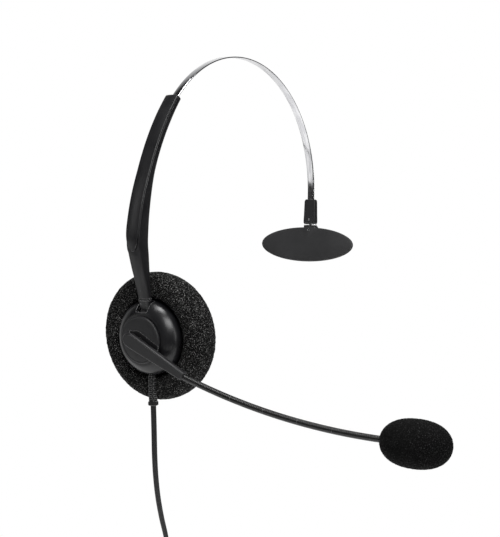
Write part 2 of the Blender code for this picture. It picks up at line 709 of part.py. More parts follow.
def build_cup_housing(cup):
    """The domed rear shell, the front baffle, its screws, the tilt pin and the cushion."""
    shell_low = BAFFLE_TOP + CLEARANCE
    inner_radius = SHELL_RADIUS - SHELL_WALL
    hole = SHAFT_RADIUS + CLEARANCE
    plate_low = SHELL_TOP - SHELL_WALL
    outer = dome_arc(SHELL_RADIUS, SHELL_SHOULDER, DOME_HEIGHT, SHELL_TOP, 6)
    inner = dome_arc(inner_radius, SHELL_SHOULDER, DOME_HEIGHT - SHELL_WALL, plate_low, 5)
    profile = (
        [(hole, SHELL_TOP)]
        + outer
        + [(SHELL_RADIUS, shell_low), (inner_radius, shell_low)]
        + inner[::-1]
        + [(hole, plate_low)]
    )
    shell = put(turned("cup_rear_shell", profile, 36, ring=True), cup, GLOSS_BLACK)

    lug_gap = NECK_WIDTH / 2 + CLEARANCE
    lug_low, lug_high = TILT_PIN_OUT - 1.8 * MM, SHELL_TOP - 1.6 * MM
    for side in (-1, 1):
        size = (LUG_THICKNESS, 3.2 * MM, lug_high - lug_low)
        centre = (side * (lug_gap + LUG_THICKNESS / 2), TILT_PIN_UP, (lug_low + lug_high) / 2)
        lug = helper(box(f"pin_lug_{'rear' if side < 0 else 'front'}", size, centre), cup)
        combine(shell, lug, "UNION")
    for turn in range(3):
        place = Matrix.Rotation(math.radians(90 + 60 + 120 * turn), 4, "Z") @ Matrix.Translation(
            (SCREW_CIRCLE, 0.0, 0.0)
        )
        boss = cylinder(f"boss_{turn + 1}", BOSS_RADIUS, shell_low, shell_low + BOSS_HEIGHT, 12)
        combine(shell, helper(boss, cup, place), "UNION")
        pilot = cylinder(f"pilot_{turn + 1}", SCREW_RADIUS + PIN_GAP, -4 * MM, SCREW_LENGTH, 10)
        combine(shell, helper(pilot, cup, place))
    notch_low = TILT_PIN_UP + 0.6 * MM
    notch = box(
        "neck_notch",
        (NECK_WIDTH + 2 * CLEARANCE, 12 * MM, 14 * MM),
        (0.0, notch_low + 6 * MM, NOTCH_FLOOR + 7 * MM),
    )
    combine(shell, helper(notch, cup))
    pin_place = Matrix.Translation((0.0, TILT_PIN_UP, TILT_PIN_OUT)) @ ALONG_X
    pin_hole = cylinder(
        "pin_hole", TILT_PIN_RADIUS + PIN_GAP, -TILT_PIN_LENGTH / 2 - PIN_GAP, TILT_PIN_LENGTH / 2 + PIN_GAP
    )
    combine(shell, helper(pin_hole, cup, pin_place))
    pin = cylinder("tilt_pin", TILT_PIN_RADIUS, -TILT_PIN_LENGTH / 2, TILT_PIN_LENGTH / 2, 12)
    put(pin, cup, STEEL, pin_place)
    cord_hole = cylinder("cord_hole", relief_neck_radius() + CLEARANCE, 12 * MM, 22 * MM)
    combine(shell, helper(cord_hole, cup, relief_matrix()))

    low = BAFFLE_TOP - BAFFLE_THICKNESS
    baffle_profile = [(0.0, BAFFLE_TOP), (BAFFLE_RADIUS, BAFFLE_TOP), (BAFFLE_RADIUS, low), (0.0, low)]
    baffle = put(turned("cup_front_baffle", baffle_profile, 36), cup, SATIN_BLACK)
    for spoke in range(7):
        reach = 0.0 if spoke == 0 else 6.0 * MM
        place = Matrix.Rotation(math.radians(60 * spoke), 4, "Z") @ Matrix.Translation((reach, 0.0, 0.0))
        sound_hole = cylinder(f"sound_hole_{spoke}", 1.5 * MM, low - 1 * MM, BAFFLE_TOP + 1 * MM, 10)
        combine(baffle, helper(sound_hole, cup, place))
    for turn in range(3):
        place = Matrix.Rotation(math.radians(90 + 60 + 120 * turn), 4, "Z") @ Matrix.Translation(
            (SCREW_CIRCLE, 0.0, 0.0)
        )
        seat = low + SCREW_HEAD + PIN_GAP
        through = [
            (0.0, BAFFLE_TOP + 1 * MM),
            (SCREW_RADIUS + PIN_GAP, BAFFLE_TOP + 1 * MM),
            (SCREW_RADIUS + PIN_GAP, seat),
            (SCREW_HEAD_RADIUS + PIN_GAP, seat),
            (SCREW_HEAD_RADIUS + PIN_GAP, low - 1 * MM),
            (0.0, low - 1 * MM),
        ]
        combine(baffle, helper(turned(f"screw_hole_{turn + 1}", through, 12), cup, place))
        screw_profile = [
            (0.0, low + SCREW_LENGTH),
            (SCREW_RADIUS, low + SCREW_LENGTH - 0.5 * MM),
            (SCREW_RADIUS, low + SCREW_HEAD),
            (SCREW_HEAD_RADIUS, low + SCREW_HEAD),
            (SCREW_HEAD_RADIUS, low),
            (0.0, low),
        ]
        put(turned(f"baffle_screw_{turn + 1}", screw_profile, 12), cup, STEEL, place)

    screen_high = low - CLEARANCE
    screen = cylinder(
        "dust_screen", CUSHION_EAR_HOLE - CLEARANCE, screen_high - DUST_SCREEN_THICKNESS, screen_high, 24
    )
    put(screen, cup, FABRIC)
    build_cushion(cup, low)


def build_cushion(cup, baffle_low):
    """The foam ring, whose inner groove grips the baffle's rim."""
    back_hole = SHELL_RADIUS + CUSHION_BACK_GAP
    groove = BAFFLE_RADIUS + CLEARANCE
    back_middle = back_hole + 3.7 * MM
    front_middle = CUSHION_EAR_HOLE + 8.0 * MM
    quarter = math.pi / 2
    profile = (
        arc_points(back_middle - back_hole, 3.0 * MM, 2 * quarter, quarter, 2,
                   (back_middle, CUSHION_BACK - 3.0 * MM))
        + arc_points(CUSHION_RADIUS - back_middle, CUSHION_BACK, quarter, 0.0, 6, (back_middle, 0.0), 2.6)[1:]
        + arc_points(CUSHION_RADIUS - front_middle, CUSHION_FRONT, 0.0, -quarter, 6, (front_middle, 0.0))[1:]
        + arc_points(2.5 * MM, 2.5 * MM, -quarter, -2 * quarter, 2,
                     (CUSHION_EAR_HOLE + 2.5 * MM, 2.5 * MM - CUSHION_FRONT))
        + [
            (CUSHION_EAR_HOLE, baffle_low - CLEARANCE),
            (groove, baffle_low - CLEARANCE),
            (groove, BAFFLE_TOP + CLEARANCE),
            (back_hole, BAFFLE_TOP + CLEARANCE),
        ]
    )
    cushion = put(turned("ear_cushion", profile, 36, ring=True), cup, FOAM)
    dent = cylinder("relief_dent", RELIEF_RADIUS + 2 * CLEARANCE, 10 * MM, 40 * MM)
    combine(cushion, helper(dent, cup, relief_matrix()))
    above = box("relief_dent_open", (2 * RELIEF_RADIUS + 4 * CLEARANCE, 30 * MM, 10 * MM),
                (0.0, -25 * MM, RELIEF_OUT + 5 * MM))
    combine(cushion, helper(above, cup))


def build_speaker(cup):
    """The moving-coil speaker behind the baffle, and the board that its wires meet."""
    face = BAFFLE_TOP + CLEARANCE
    rim = SPEAKER_RADIUS - 1.5 * MM
    frame_profile = [
        (9.4 * MM, face + 5.8 * MM),
        (9.4 * MM, face + 4.0 * MM),
        (rim - 0.3 * MM, face + 1.6 * MM),
        (SPEAKER_RADIUS, face + 1.6 * MM),
        (SPEAKER_RADIUS, face),
        (rim, face),
        (rim, face + 0.8 * MM),
        (8.4 * MM, face + 3.3 * MM),
        (8.4 * MM, face + 5.8 * MM),
    ]
    put(turned("speaker_frame", frame_profile, 24, ring=True), cup, SATIN_BLACK)
    yoke_outer = 8.4 * MM - CLEARANCE
    yoke_inner = COIL_RADIUS + 0.6 * MM
    yoke_profile = [
        (0.0, face + 6.6 * MM),
        (yoke_outer, face + 6.6 * MM),
        (yoke_outer, face + 3.7 * MM),
        (yoke_inner, face + 2.8 * MM),
        (yoke_inner, face + 5.6 * MM),
        (0.0, face + 5.6 * MM),
    ]
    put(turned("speaker_yoke", yoke_profile, 24), cup, STEEL)
    put(cylinder("speaker_magnet", MAGNET_RADIUS, face + 3.2 * MM, face + 5.3 * MM), cup, STEEL)
    put(cylinder("speaker_pole_plate", MAGNET_RADIUS + 0.4 * MM, face + 2.1 * MM, face + 2.9 * MM), cup, STEEL)
    coil = ring_profile(COIL_RADIUS - 0.3 * MM, COIL_RADIUS + 0.2 * MM, face + 0.9 * MM, face + 2.8 * MM)
    put(turned("voice_coil", coil, 24, ring=True), cup, COPPER)
    film = 0.25 * MM
    edge = rim - CLEARANCE
    upper = [(0.0, 0.75), (5.4, 0.45), (6.6, 0.3), (9.0, 0.6)]
    top = [(radius * MM, face + height * MM) for radius, height in upper] + [(edge, face + 0.35 * MM)]
    bottom = [(radius, height - film) for radius, height in top[::-1]]
    put(turned("speaker_diaphragm", top + bottom, 24), cup, FILM)
    put(box("terminal_board", (9 * MM, 5 * MM, 1 * MM), (0.0, -9.0 * MM, 7.6 * MM)), cup, BOARD)


# ---------------------------------------------------------------- boom


def build_boom_pivot(cup, boom):
    """The disc with its hollow shaft, the friction washer, the clip and the lever."""
    disc_low = SHELL_TOP + CLEARANCE
    disc_top = disc_low + DISC_THICKNESS
    shaft_end = disc_low - SHAFT_DEPTH
    washer_high = SHELL_TOP - SHELL_WALL - PIN_GAP
    clip_high = washer_high - WASHER_THICKNESS - PIN_GAP
    clip_low = clip_high - 0.5 * MM
    profile = [
        (SHAFT_BORE, disc_top),
        (DISC_RADIUS - 0.4 * MM, disc_top),
        (DISC_RADIUS, disc_top - 0.4 * MM),
        (DISC_RADIUS, disc_low),
        (SHAFT_RADIUS, disc_low),
        (SHAFT_RADIUS, clip_high + PIN_GAP),
        (SHAFT_GROOVE_RADIUS, clip_high + PIN_GAP),
        (SHAFT_GROOVE_RADIUS, clip_low - PIN_GAP),
        (SHAFT_RADIUS, clip_low - PIN_GAP),
        (SHAFT_RADIUS, shaft_end),
        (SHAFT_BORE, shaft_end),
    ]
    put(turned("boom_pivot_disc", profile, 36, ring=True), boom, MATTE_BLACK)
    washer = ring_profile(
        SHAFT_RADIUS + CLEARANCE, 5.6 * MM, washer_high - WASHER_THICKNESS, washer_high
    )
    put(turned("pivot_friction_washer", washer, 20, ring=True), cup, FILM)
    clip = ring_profile(SHAFT_GROOVE_RADIUS + PIN_GAP, 4.6 * MM, clip_low, clip_high)
    put(turned("pivot_retaining_clip", clip, 20, ring=True), boom, STEEL)

    low = disc_top + CLEARANCE
    rear = arc_points(LEVER_HALF_WIDTH * 1.15, LEVER_HALF_WIDTH, math.pi / 2, 3 * math.pi / 2, 8,
                      (LEVER_HALF_WIDTH * 1.15 - LEVER_REAR, LEVER_OFFSET))
    tip = [
        (LEVER_TIP - 0.8 * MM, LEVER_OFFSET - LEVER_TIP_HALF_WIDTH),
        (LEVER_TIP, LEVER_OFFSET - LEVER_TIP_HALF_WIDTH + 0.8 * MM),
        (LEVER_TIP, LEVER_OFFSET + LEVER_TIP_HALF_WIDTH - 0.8 * MM),
        (LEVER_TIP - 0.8 * MM, LEVER_OFFSET + LEVER_TIP_HALF_WIDTH),
    ]
    lever = outline("boom_lever", rear + tip, low, low + LEVER_THICKNESS, 0.4 * MM)
    put(lever, boom, MATTE_BLACK)


def gooseneck_matrix(distance):
    """A frame on the gooseneck: x along it, z outward, in the boom's frame."""
    start = Vector((LEVER_TIP + CLEARANCE, LEVER_OFFSET, gooseneck_height()))
    side = Vector((-math.sin(GOOSENECK_START_HEADING), math.cos(GOOSENECK_START_HEADING), 0.0))
    turn = distance / GOOSENECK_CURVE
    heading = GOOSENECK_START_HEADING + turn
    centre = start + side * GOOSENECK_CURVE
    place = centre - GOOSENECK_CURVE * Vector((-math.sin(heading), math.cos(heading), 0.0))
    matrix = Matrix.Rotation(heading, 4, "Z")
    matrix.translation = place
    return matrix


def gooseneck_height():
    """The gooseneck's middle lies level with the lever's."""
    return SHELL_TOP + 2 * CLEARANCE + DISC_THICKNESS + LEVER_THICKNESS / 2


def build_gooseneck(boom):
    """The flexible boom as short tubes with a hinge between each two. It returns the last frame."""
    pitch = GOOSENECK_LENGTH / GOOSENECK_SEGMENTS
    frame = boom
    for number in range(1, GOOSENECK_SEGMENTS + 1):
        start = (number - 1) * pitch
        if number > 1:
            frame = Frame(f"gooseneck_hinge_{number - 1}", boom.world @ gooseneck_matrix(start), frame)
        here = frame.world.inverted() @ boom.world
        low = start + (CLEARANCE / 2 if number > 1 else 0.0)
        high = start + pitch - CLEARANCE / 2
        places = [low + (high - low) * i / 3 for i in range(4)]
        points = [here @ gooseneck_matrix(place).translation for place in places]
        put(tube(f"gooseneck_{number}", points, GOOSENECK_RADIUS), frame, RUBBER_BLACK)
    return frame


def build_microphone(boom, last):
    """The capsule housing with its element and cap, inside the foam windscreen."""
    place = last.world.inverted() @ boom.world @ gooseneck_matrix(GOOSENECK_LENGTH) @ ALONG_X
    low = CLEARANCE
    high = low + CAPSULE_LENGTH
    bore = CAPSULE_RADIUS - CAPSULE_WALL
    housing = [
        (0.0, low + 3.0 * MM),
        (bore, low + 3.0 * MM),
        (bore, high),
        (CAPSULE_RADIUS, high),
        (CAPSULE_RADIUS, low + 3.0 * MM),
        (GOOSENECK_RADIUS + 0.6 * MM, low),
        (0.0, low),
    ]
    put(turned("mic_housing", housing, 20), last, SATIN_BLACK, place)
    element = cylinder("mic_element", bore - CLEARANCE, high - 4.0 * MM, high - 1.2 * MM)
    put(element, last, STEEL, place)
    cap = ring_profile(1.2 * MM, CAPSULE_RADIUS, high + CLEARANCE, high + CLEARANCE + 0.8 * MM)
    put(turned("mic_front_cap", cap, 20, ring=True), last, SATIN_BLACK, place)

    back = -WINDSCREEN_OVERLAP
    middle = back + WINDSCREEN_LENGTH / 2
    neck = GOOSENECK_RADIUS + CLEARANCE
    room = CAPSULE_RADIUS + CLEARANCE
    start = math.acos((neck / WINDSCREEN_RADIUS) ** 1.15)
    outer = arc_points(WINDSCREEN_RADIUS, WINDSCREEN_LENGTH / 2, math.pi / 2, -start, 14, (0.0, middle), 2.3)
    ends = outer[-1][1]
    profile = (
        [(0.0, outer[0][1])]
        + outer[1:-1]
        + [
            (neck, ends),
            (neck, low - CLEARANCE),
            (GOOSENECK_RADIUS + 0.6 * MM + CLEARANCE, low - CLEARANCE),
            (room, low + 3.0 * MM - CLEARANCE),
            (room, high + 2 * CLEARANCE + 0.8 * MM),
            (0.0, high + 2 * CLEARANCE + 0.8 * MM),
        ]
    )
    put(turned("mic_windscreen", profile, 28), last, FOAM, place)


# ---------------------------------------------------------------- cord


def relief_matrix():
    """The strain relief's frame in the ear cup's: z outward and down from the cup's middle."""
    return (
        Matrix.Translation((0.0, 0.0, RELIEF_OUT))
        @ Matrix.Rotation(RELIEF_LEAN, 4, "X")
        @ ALONG_DOWN
    )


def relief_neck_radius():
    """Radius of the strain relief where it passes through the shell's wall."""
    return RELIEF_RADIUS - 0.3 * MM


def build_cord(cup):
    """Strain relief, hanging cord, tied hank of the rest, and the quick-disconnect plug."""
    wall_in = SHELL_RADIUS - SHELL_WALL
    start = SHELL_RADIUS + 0.5 * MM
    end = start + RELIEF_LENGTH
    collar = 1.6 * MM
    pitch = (RELIEF_LENGTH - collar) / RELIEF_RIBS
    profile = [(0.0, end), (RELIEF_RADIUS, end), (RELIEF_RADIUS, end - collar)]
    for rib in range(RELIEF_RIBS):
        high = end - collar - rib * pitch
        profile += [
            (RELIEF_RADIUS - 0.55 * MM, high),
            (RELIEF_RADIUS - 0.55 * MM, high - 0.4 * pitch),
            (RELIEF_RADIUS, high - 0.4 * pitch),
            (RELIEF_RADIUS, high - pitch),
        ]
    flange_out = wall_in - 1.2 * MM
    profile += [
        (relief_neck_radius(), start),
        (relief_neck_radius(), flange_out),
        (RELIEF_RADIUS + 0.5 * MM, flange_out),
        (RELIEF_RADIUS + 0.5 * MM, flange_out - 1.0 * MM),
        (0.0, flange_out - 1.0 * MM),
    ]
    put(turned("cord_strain_relief", profile, 14), cup, RUBBER_BLACK, relief_matrix())

    leave = cup.world @ relief_matrix() @ Vector((0.0, 0.0, end + CLEARANCE))
    world_in_cup = cup.world.inverted()
    route = [leave + Vector((x, 0.0, z)) for x, z in CORD_ROUTE]
    points = [world_in_cup @ point for point in smooth_route(route, 2.2 * CORD_DIAMETER)]
    put(tube("cord", points, CORD_DIAMETER / 2), cup, CORD_BLACK)

    outer = HANK_FOLD_RADIUS + CORD_DIAMETER / 2
    hank_half = HANK_RUN / 2 + outer
    half_depth = HANK_LAYERS * CORD_DIAMETER / 2
    centre = route[-1] + Vector((half_depth - CORD_DIAMETER / 2, 0.0, -CLEARANCE - hank_half))
    across = Vector((0.0, 1.0, 0.0))
    down = Vector((0.0, 0.0, -1.0))
    hank_place = world_in_cup @ axes(centre, down, across, down.cross(across))
    hank = outline("cord_hank", racetrack(HANK_RUN / 2, outer), -half_depth, half_depth)
    put(hank, cup, CORD_BLACK, hank_place)
    tie_width, tie_depth = 2 * (outer + CLEARANCE + TIE_WALL), 2 * (half_depth + CLEARANCE + TIE_WALL)
    tie = box("cord_tie", (TIE_HEIGHT, tie_width, tie_depth))
    put(tie, cup, RUBBER_BLACK, hank_place)
    window = box("tie_window", (2 * TIE_HEIGHT, 2 * (outer + CLEARANCE), 2 * (half_depth + CLEARANCE)))
    combine(tie, helper(window, cup, hank_place))

    lead_top = hank_half + CLEARANCE
    depth = half_depth - CORD_DIAMETER / 2  # the cord leaves the innermost layer
    lead = [Vector((lead_top + PLUG_LEAD * i / 3, 0.0, depth)) for i in range(4)]
    put(tube("cord_plug_lead", lead, CORD_DIAMETER / 2), cup, CORD_BLACK, hank_place)
    build_plug(cup, hank_place @ Matrix.Translation((lead_top + PLUG_LEAD + CLEARANCE, 0.0, depth)))


def build_plug(cup, place):
    """The quick-disconnect plug, x away from the cord: a strain relief, two shells and a contact tongue."""
    cone = cylinder("plug_strain_relief", 1.9 * MM, 0.0, PLUG_RELIEF_LENGTH, 14, 2.9 * MM)
    put(cone, cup, RUBBER_BLACK, place @ ALONG_X)
    start = PLUG_RELIEF_LENGTH + CLEARANCE
    middle = start + PLUG_LENGTH / 2
    for side, name in ((1, "plug_shell_outer"), (-1, "plug_shell_inner")):
        half = PLUG_DEPTH / 2 - CLEARANCE / 2
        centre_z = side * (CLEARANCE / 2 + half / 2)
        shell = box(name, (PLUG_LENGTH, PLUG_WIDTH, half), (middle, 0.0, centre_z), 0.6 * MM)
        put(shell, cup, SATIN_BLACK, place)
        hollow = box(
            f"{name}_hollow",
            (PLUG_LENGTH - PLUG_WALL, PLUG_WIDTH - 2 * PLUG_WALL, 2 * (half - PLUG_WALL)),
            (middle + PLUG_WALL / 2 + 0.5 * MM, 0.0, side * CLEARANCE / 2),
        )
        combine(shell, helper(hollow, cup, place))
    thick = PLUG_DEPTH - 2 * PLUG_WALL - 2 * CLEARANCE
    tongue_end = start + PLUG_LENGTH + PLUG_TONGUE
    tongue_start = start + PLUG_LENGTH - 12.0 * MM
    tongue = box(
        "plug_tongue",
        (tongue_end - tongue_start, PLUG_WIDTH - 2 * PLUG_WALL - 2 * CLEARANCE, thick),
        ((tongue_start + tongue_end) / 2, 0.0, 0.0),
        0.3 * MM,
    )
    put(tongue, cup, SATIN_BLACK, place)


# ---------------------------------------------------------------- temple pad


def build_pad_holder(root, tail):
    """The block on the strip's tail, its cross pin and the steel plate that the pad turns against."""
    size = (HOLDER_WIDTH, HOLDER_THICKNESS, HOLDER_LENGTH)
    holder = box("pad_holder", size, (0.0, 0.0, HOLDER_LENGTH / 2), 0.6 * MM)
    put(holder, tail, MATTE_BLACK)
    slot_size = (STRIP_WIDTH + 2 * CLEARANCE, STRIP_THICKNESS + 2 * CLEARANCE, HOLDER_SLOT_DEPTH + 1 * MM)
    slot_centre = (0.0, 0.0, HOLDER_LENGTH - HOLDER_SLOT_DEPTH + slot_size[2] / 2)
    combine(holder, helper(box("strip_slot", slot_size, slot_centre), tail))
    bore = cylinder("swivel_bore", SWIVEL_RADIUS + PIN_GAP, -1 * MM, SWIVEL_DEPTH + PIN_GAP)
    combine(holder, helper(bore, tail))
    inward = Matrix.Rotation(-math.pi / 2, 4, "X")  # turns a piece's z axis to y, which points inward
    cross_place = Matrix.Translation((0.0, 0.0, swivel_groove_height())) @ inward
    cross_hole = cylinder("cross_hole", CROSS_PIN_RADIUS + PIN_GAP, 0.0, HOLDER_THICKNESS, 10)
    combine(holder, helper(cross_hole, tail, cross_place))
    cross_start = SWIVEL_GROOVE_RADIUS + PIN_GAP
    cross = cylinder("holder_cross_pin", CROSS_PIN_RADIUS, cross_start, HOLDER_THICKNESS / 2 - PIN_GAP, 10)
    put(cross, tail, STEEL, cross_place)
    plate = box(
        "swivel_plate",
        (HOLDER_WIDTH - 0.3 * MM, HOLDER_THICKNESS - 0.3 * MM, SWIVEL_PLATE),
        (0.0, 0.0, -CLEARANCE - SWIVEL_PLATE / 2),
    )
    put(plate, tail, STEEL)
    plate_bore = cylinder("plate_bore", SWIVEL_RADIUS + CLEARANCE, -2 * MM, 1 * MM, 14)
    combine(plate, helper(plate_bore, tail))


def swivel_groove_height():
    """Height of the groove that the holder's cross pin sits in."""
    return SWIVEL_DEPTH - 1.3 * MM


def build_temple_pad(tail):
    """The swivel pin, the hard back plate with its neck, and the soft oval face."""
    groove = swivel_groove_height()
    half_groove = CROSS_PIN_RADIUS + PIN_GAP
    neck_top = -2 * CLEARANCE - SWIVEL_PLATE
    pin_low = neck_top - 4.0 * MM
    profile = [
        (0.0, SWIVEL_DEPTH),
        (SWIVEL_RADIUS, SWIVEL_DEPTH),
        (SWIVEL_RADIUS, groove + half_groove),
        (SWIVEL_GROOVE_RADIUS, groove + half_groove),
        (SWIVEL_GROOVE_RADIUS, groove - half_groove),
        (SWIVEL_RADIUS, groove - half_groove),
        (SWIVEL_RADIUS, pin_low),
        (0.0, pin_low),
    ]
    put(turned("pad_swivel_pin", profile, 12), tail, STEEL)

    lean = PAD_LEAN
    up = Vector((0.0, -math.sin(lean), math.cos(lean)))
    inward = Vector((0.0, math.cos(lean), math.sin(lean)))
    centre = Vector((0.0, PAD_INSET, -PAD_DROP))
    pad = axes(centre, up.cross(inward), up, inward)
    tab_top = (PAD_DROP + neck_top) / math.cos(lean)
    half_tab = PAD_TAB_WIDTH / 2
    start = math.acos(half_tab / PAD_HALF_LENGTH)

    def shape(inset):
        length, height = PAD_HALF_LENGTH - inset, PAD_HALF_HEIGHT - inset
        oval = arc_points(length, height, math.pi - start, 2 * math.pi + start, 40)
        return oval + [(half_tab, tab_top), (-half_tab, tab_top)]

    cushion = outline("pad_cushion", shape(0.0), -PAD_CUSHION_THICKNESS, 0.0, 0.3 * MM)
    put(cushion, tail, SOFT_BLACK, pad)
    plate_high = -PAD_CUSHION_THICKNESS - CLEARANCE
    plate_low = plate_high - PAD_PLATE_THICKNESS
    plate = outline("pad_backplate", shape(PAD_PLATE_INSET), plate_low, plate_high, 0.3 * MM)
    put(plate, tail, MATTE_BLACK, pad)
    neck_low = pin_low - 0.8 * MM
    neck_box = box(
        "pad_neck_core", (PAD_TAB_WIDTH, 2.4 * MM, neck_top - neck_low), (0.0, 0.0, (neck_top + neck_low) / 2)
    )
    combine(plate, helper(neck_box, tail), "UNION")
    face_room = box("pad_face_room", (80 * MM, 80 * MM, 6 * MM), (0.0, 0.0, plate_high + 3 * MM))
    combine(plate, helper(face_room, tail, pad))
    pin_room = cylinder("pad_pin_room", SWIVEL_RADIUS + PIN_GAP, pin_low - PIN_GAP, 2 * MM, 12)
    combine(plate, helper(pin_room, tail))
    face_pin_room = cylinder("pad_face_pin_room", SWIVEL_RADIUS + PIN_GAP, pin_low - PIN_GAP, 2 * MM, 12)
    combine(cushion, helper(face_pin_room, tail))
    dot_place = pad @ Matrix.Translation((0.0, PAD_HALF_HEIGHT - 1.6 * MM, 0.0))
    dot = cylinder("pad_dot_hole", CROSS_PIN_RADIUS + PIN_GAP, -0.9 * MM, 1 * MM, 10)
    combine(cushion, helper(dot, tail, dot_place))


# ---------------------------------------------------------------- assembly

clear_scene()
PARTS = collection(COLLECTION_NAME)
HELPERS = collection("cutters")

STEEL = material("polished_steel", (0.78, 0.78, 0.79), 0.12, 1.0)
SATIN_BLACK = material("satin_black_plastic", (0.02, 0.02, 0.022), 0.38)
GLOSS_BLACK = material("gloss_black_plastic", (0.015, 0.015, 0.017), 0.22)
MATTE_BLACK = material("matte_black_plastic", (0.03, 0.03, 0.032), 0.55)
RUBBER_BLACK = material("black_rubber", (0.02, 0.02, 0.02), 0.5)
CORD_BLACK = material("cord_jacket", (0.02, 0.02, 0.021), 0.45)
SOFT_BLACK = material("soft_pad_skin", (0.04, 0.04, 0.042), 0.8)
FOAM = material("open_cell_foam", (0.03, 0.03, 0.03), 0.95)
FABRIC = material("dust_screen_cloth", (0.02, 0.02, 0.02), 0.9)
COPPER = material("copper_wire", (0.72, 0.36, 0.2), 0.35, 1.0)
FILM = material("clear_film", (0.6, 0.58, 0.5), 0.3)
BOARD = material("circuit_board", (0.03, 0.2, 0.08), 0.5)

headband_frame = Frame("headband", Matrix.Identity(4))
arm_frame = Frame("arm_slide_centre", Matrix.Translation(ARM_CENTRE), headband_frame)
neck_frame = Frame("neck_swivel", neck_matrix(), arm_frame)
tilt_frame = Frame("tilt_axis", neck_matrix() @ Matrix.Translation((0.0, 0.0, -NECK_LENGTH)), neck_frame)
cup_frame = Frame("ear_cup", cup_matrix(), tilt_frame)
boom_frame = Frame("boom_pivot", cup_matrix() @ Matrix.Rotation(BOOM_DROP, 4, "Z"), cup_frame)
pad_frame = Frame("pad_swivel", tail_frame_matrix(), headband_frame)

build_headband(headband_frame)
build_arm(arm_frame)
build_neck(neck_frame)
build_cup_housing(cup_frame)
build_speaker(cup_frame)
build_boom_pivot(cup_frame, boom_frame)
last_frame = build_gooseneck(boom_frame)
build_microphone(boom_frame, last_frame)
build_cord(cup_frame)
build_pad_holder(headband_frame, pad_frame)
build_temple_pad(pad_frame)
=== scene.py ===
"""Office headset: the finished look of every piece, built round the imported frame."""

import json
import logging
import math
from contextlib import contextmanager
from dataclasses import dataclass
from enum import Enum
from typing import Callable, Iterator, Sequence

import bpy
from mathutils import Matrix, Vector


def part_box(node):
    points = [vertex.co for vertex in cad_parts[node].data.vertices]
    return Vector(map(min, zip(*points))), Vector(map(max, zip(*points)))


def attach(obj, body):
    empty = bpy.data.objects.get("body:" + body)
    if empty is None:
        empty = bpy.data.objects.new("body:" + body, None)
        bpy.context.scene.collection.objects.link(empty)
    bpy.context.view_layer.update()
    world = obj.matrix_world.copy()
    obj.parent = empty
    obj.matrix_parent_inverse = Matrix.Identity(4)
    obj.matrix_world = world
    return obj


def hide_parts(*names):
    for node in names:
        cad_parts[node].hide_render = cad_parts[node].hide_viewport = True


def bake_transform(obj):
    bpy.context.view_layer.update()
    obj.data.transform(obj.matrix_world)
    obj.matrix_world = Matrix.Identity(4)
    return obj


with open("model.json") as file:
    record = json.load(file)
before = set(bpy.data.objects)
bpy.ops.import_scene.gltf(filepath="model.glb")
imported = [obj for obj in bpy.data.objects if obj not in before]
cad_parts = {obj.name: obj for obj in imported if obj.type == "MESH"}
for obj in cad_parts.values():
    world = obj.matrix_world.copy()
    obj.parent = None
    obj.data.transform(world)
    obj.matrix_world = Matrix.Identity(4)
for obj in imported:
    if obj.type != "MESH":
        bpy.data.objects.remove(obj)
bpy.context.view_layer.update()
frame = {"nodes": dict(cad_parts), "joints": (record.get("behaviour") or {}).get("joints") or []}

MM = 0.001
GAP = 0.3 * MM
FORWARD = Vector((0.0, -1.0, 0.0))
PIN_BORE = 0.85 * MM  # radius of the holes for pins
EDGE_HIGHLIGHT_WIDTH = 0.00035  # how far the painted edge highlight reaches onto a moulded edge
RELIEF_UP = 5.9 * MM  # the cord's exit, outward from the ear cup's middle
# Angles in degrees: how far the arm's end, the ear cup and the strip's tail lean outward, then turns about an axis.
ARM_LEAN = 12.5
CUP_LEAN = 3.3
TAIL_LEAN = -2.0
BOOM_TURN = -25.6
RELIEF_TURN = 89.0
RELIEF_ROLL = -36.0
Point = tuple[float, float]
Triple = tuple[float, float, float]
Colour = Triple
LOG = logging.getLogger("headset")
JOINT_PLACES = {joint["name"]: Vector(joint["pos_m"]) for joint in frame["joints"]}


# ---------------------------------------------------------------- modelling by hand


def select_only(obj: bpy.types.Object) -> None:
    """Leaves one object selected and active."""
    bpy.ops.object.select_all(action="DESELECT")
    obj.select_set(True)
    bpy.context.view_layer.objects.active = obj


@contextmanager
def editing(obj: bpy.types.Object) -> Iterator[None]:
    """Opens an object in edit mode with nothing selected.

    Args:
        obj: The mesh object to edit.
    """
    select_only(obj)
    bpy.ops.object.mode_set(mode="EDIT")
    bpy.ops.mesh.select_all(action="DESELECT")
    yield
    bpy.ops.object.mode_set(mode="OBJECT")


def extrude(step: Vector) -> None:
    """Extrudes what is selected and moves it by one step."""
    bpy.ops.mesh.extrude_region_move(TRANSFORM_OT_translate={"value": step})


def tidy() -> None:
    """Merges doubled points and turns every face outward, in edit mode."""
    bpy.ops.mesh.select_all(action="SELECT")
    bpy.ops.mesh.remove_doubles(threshold=2e-6)
    bpy.ops.mesh.normals_make_consistent(inside=False)


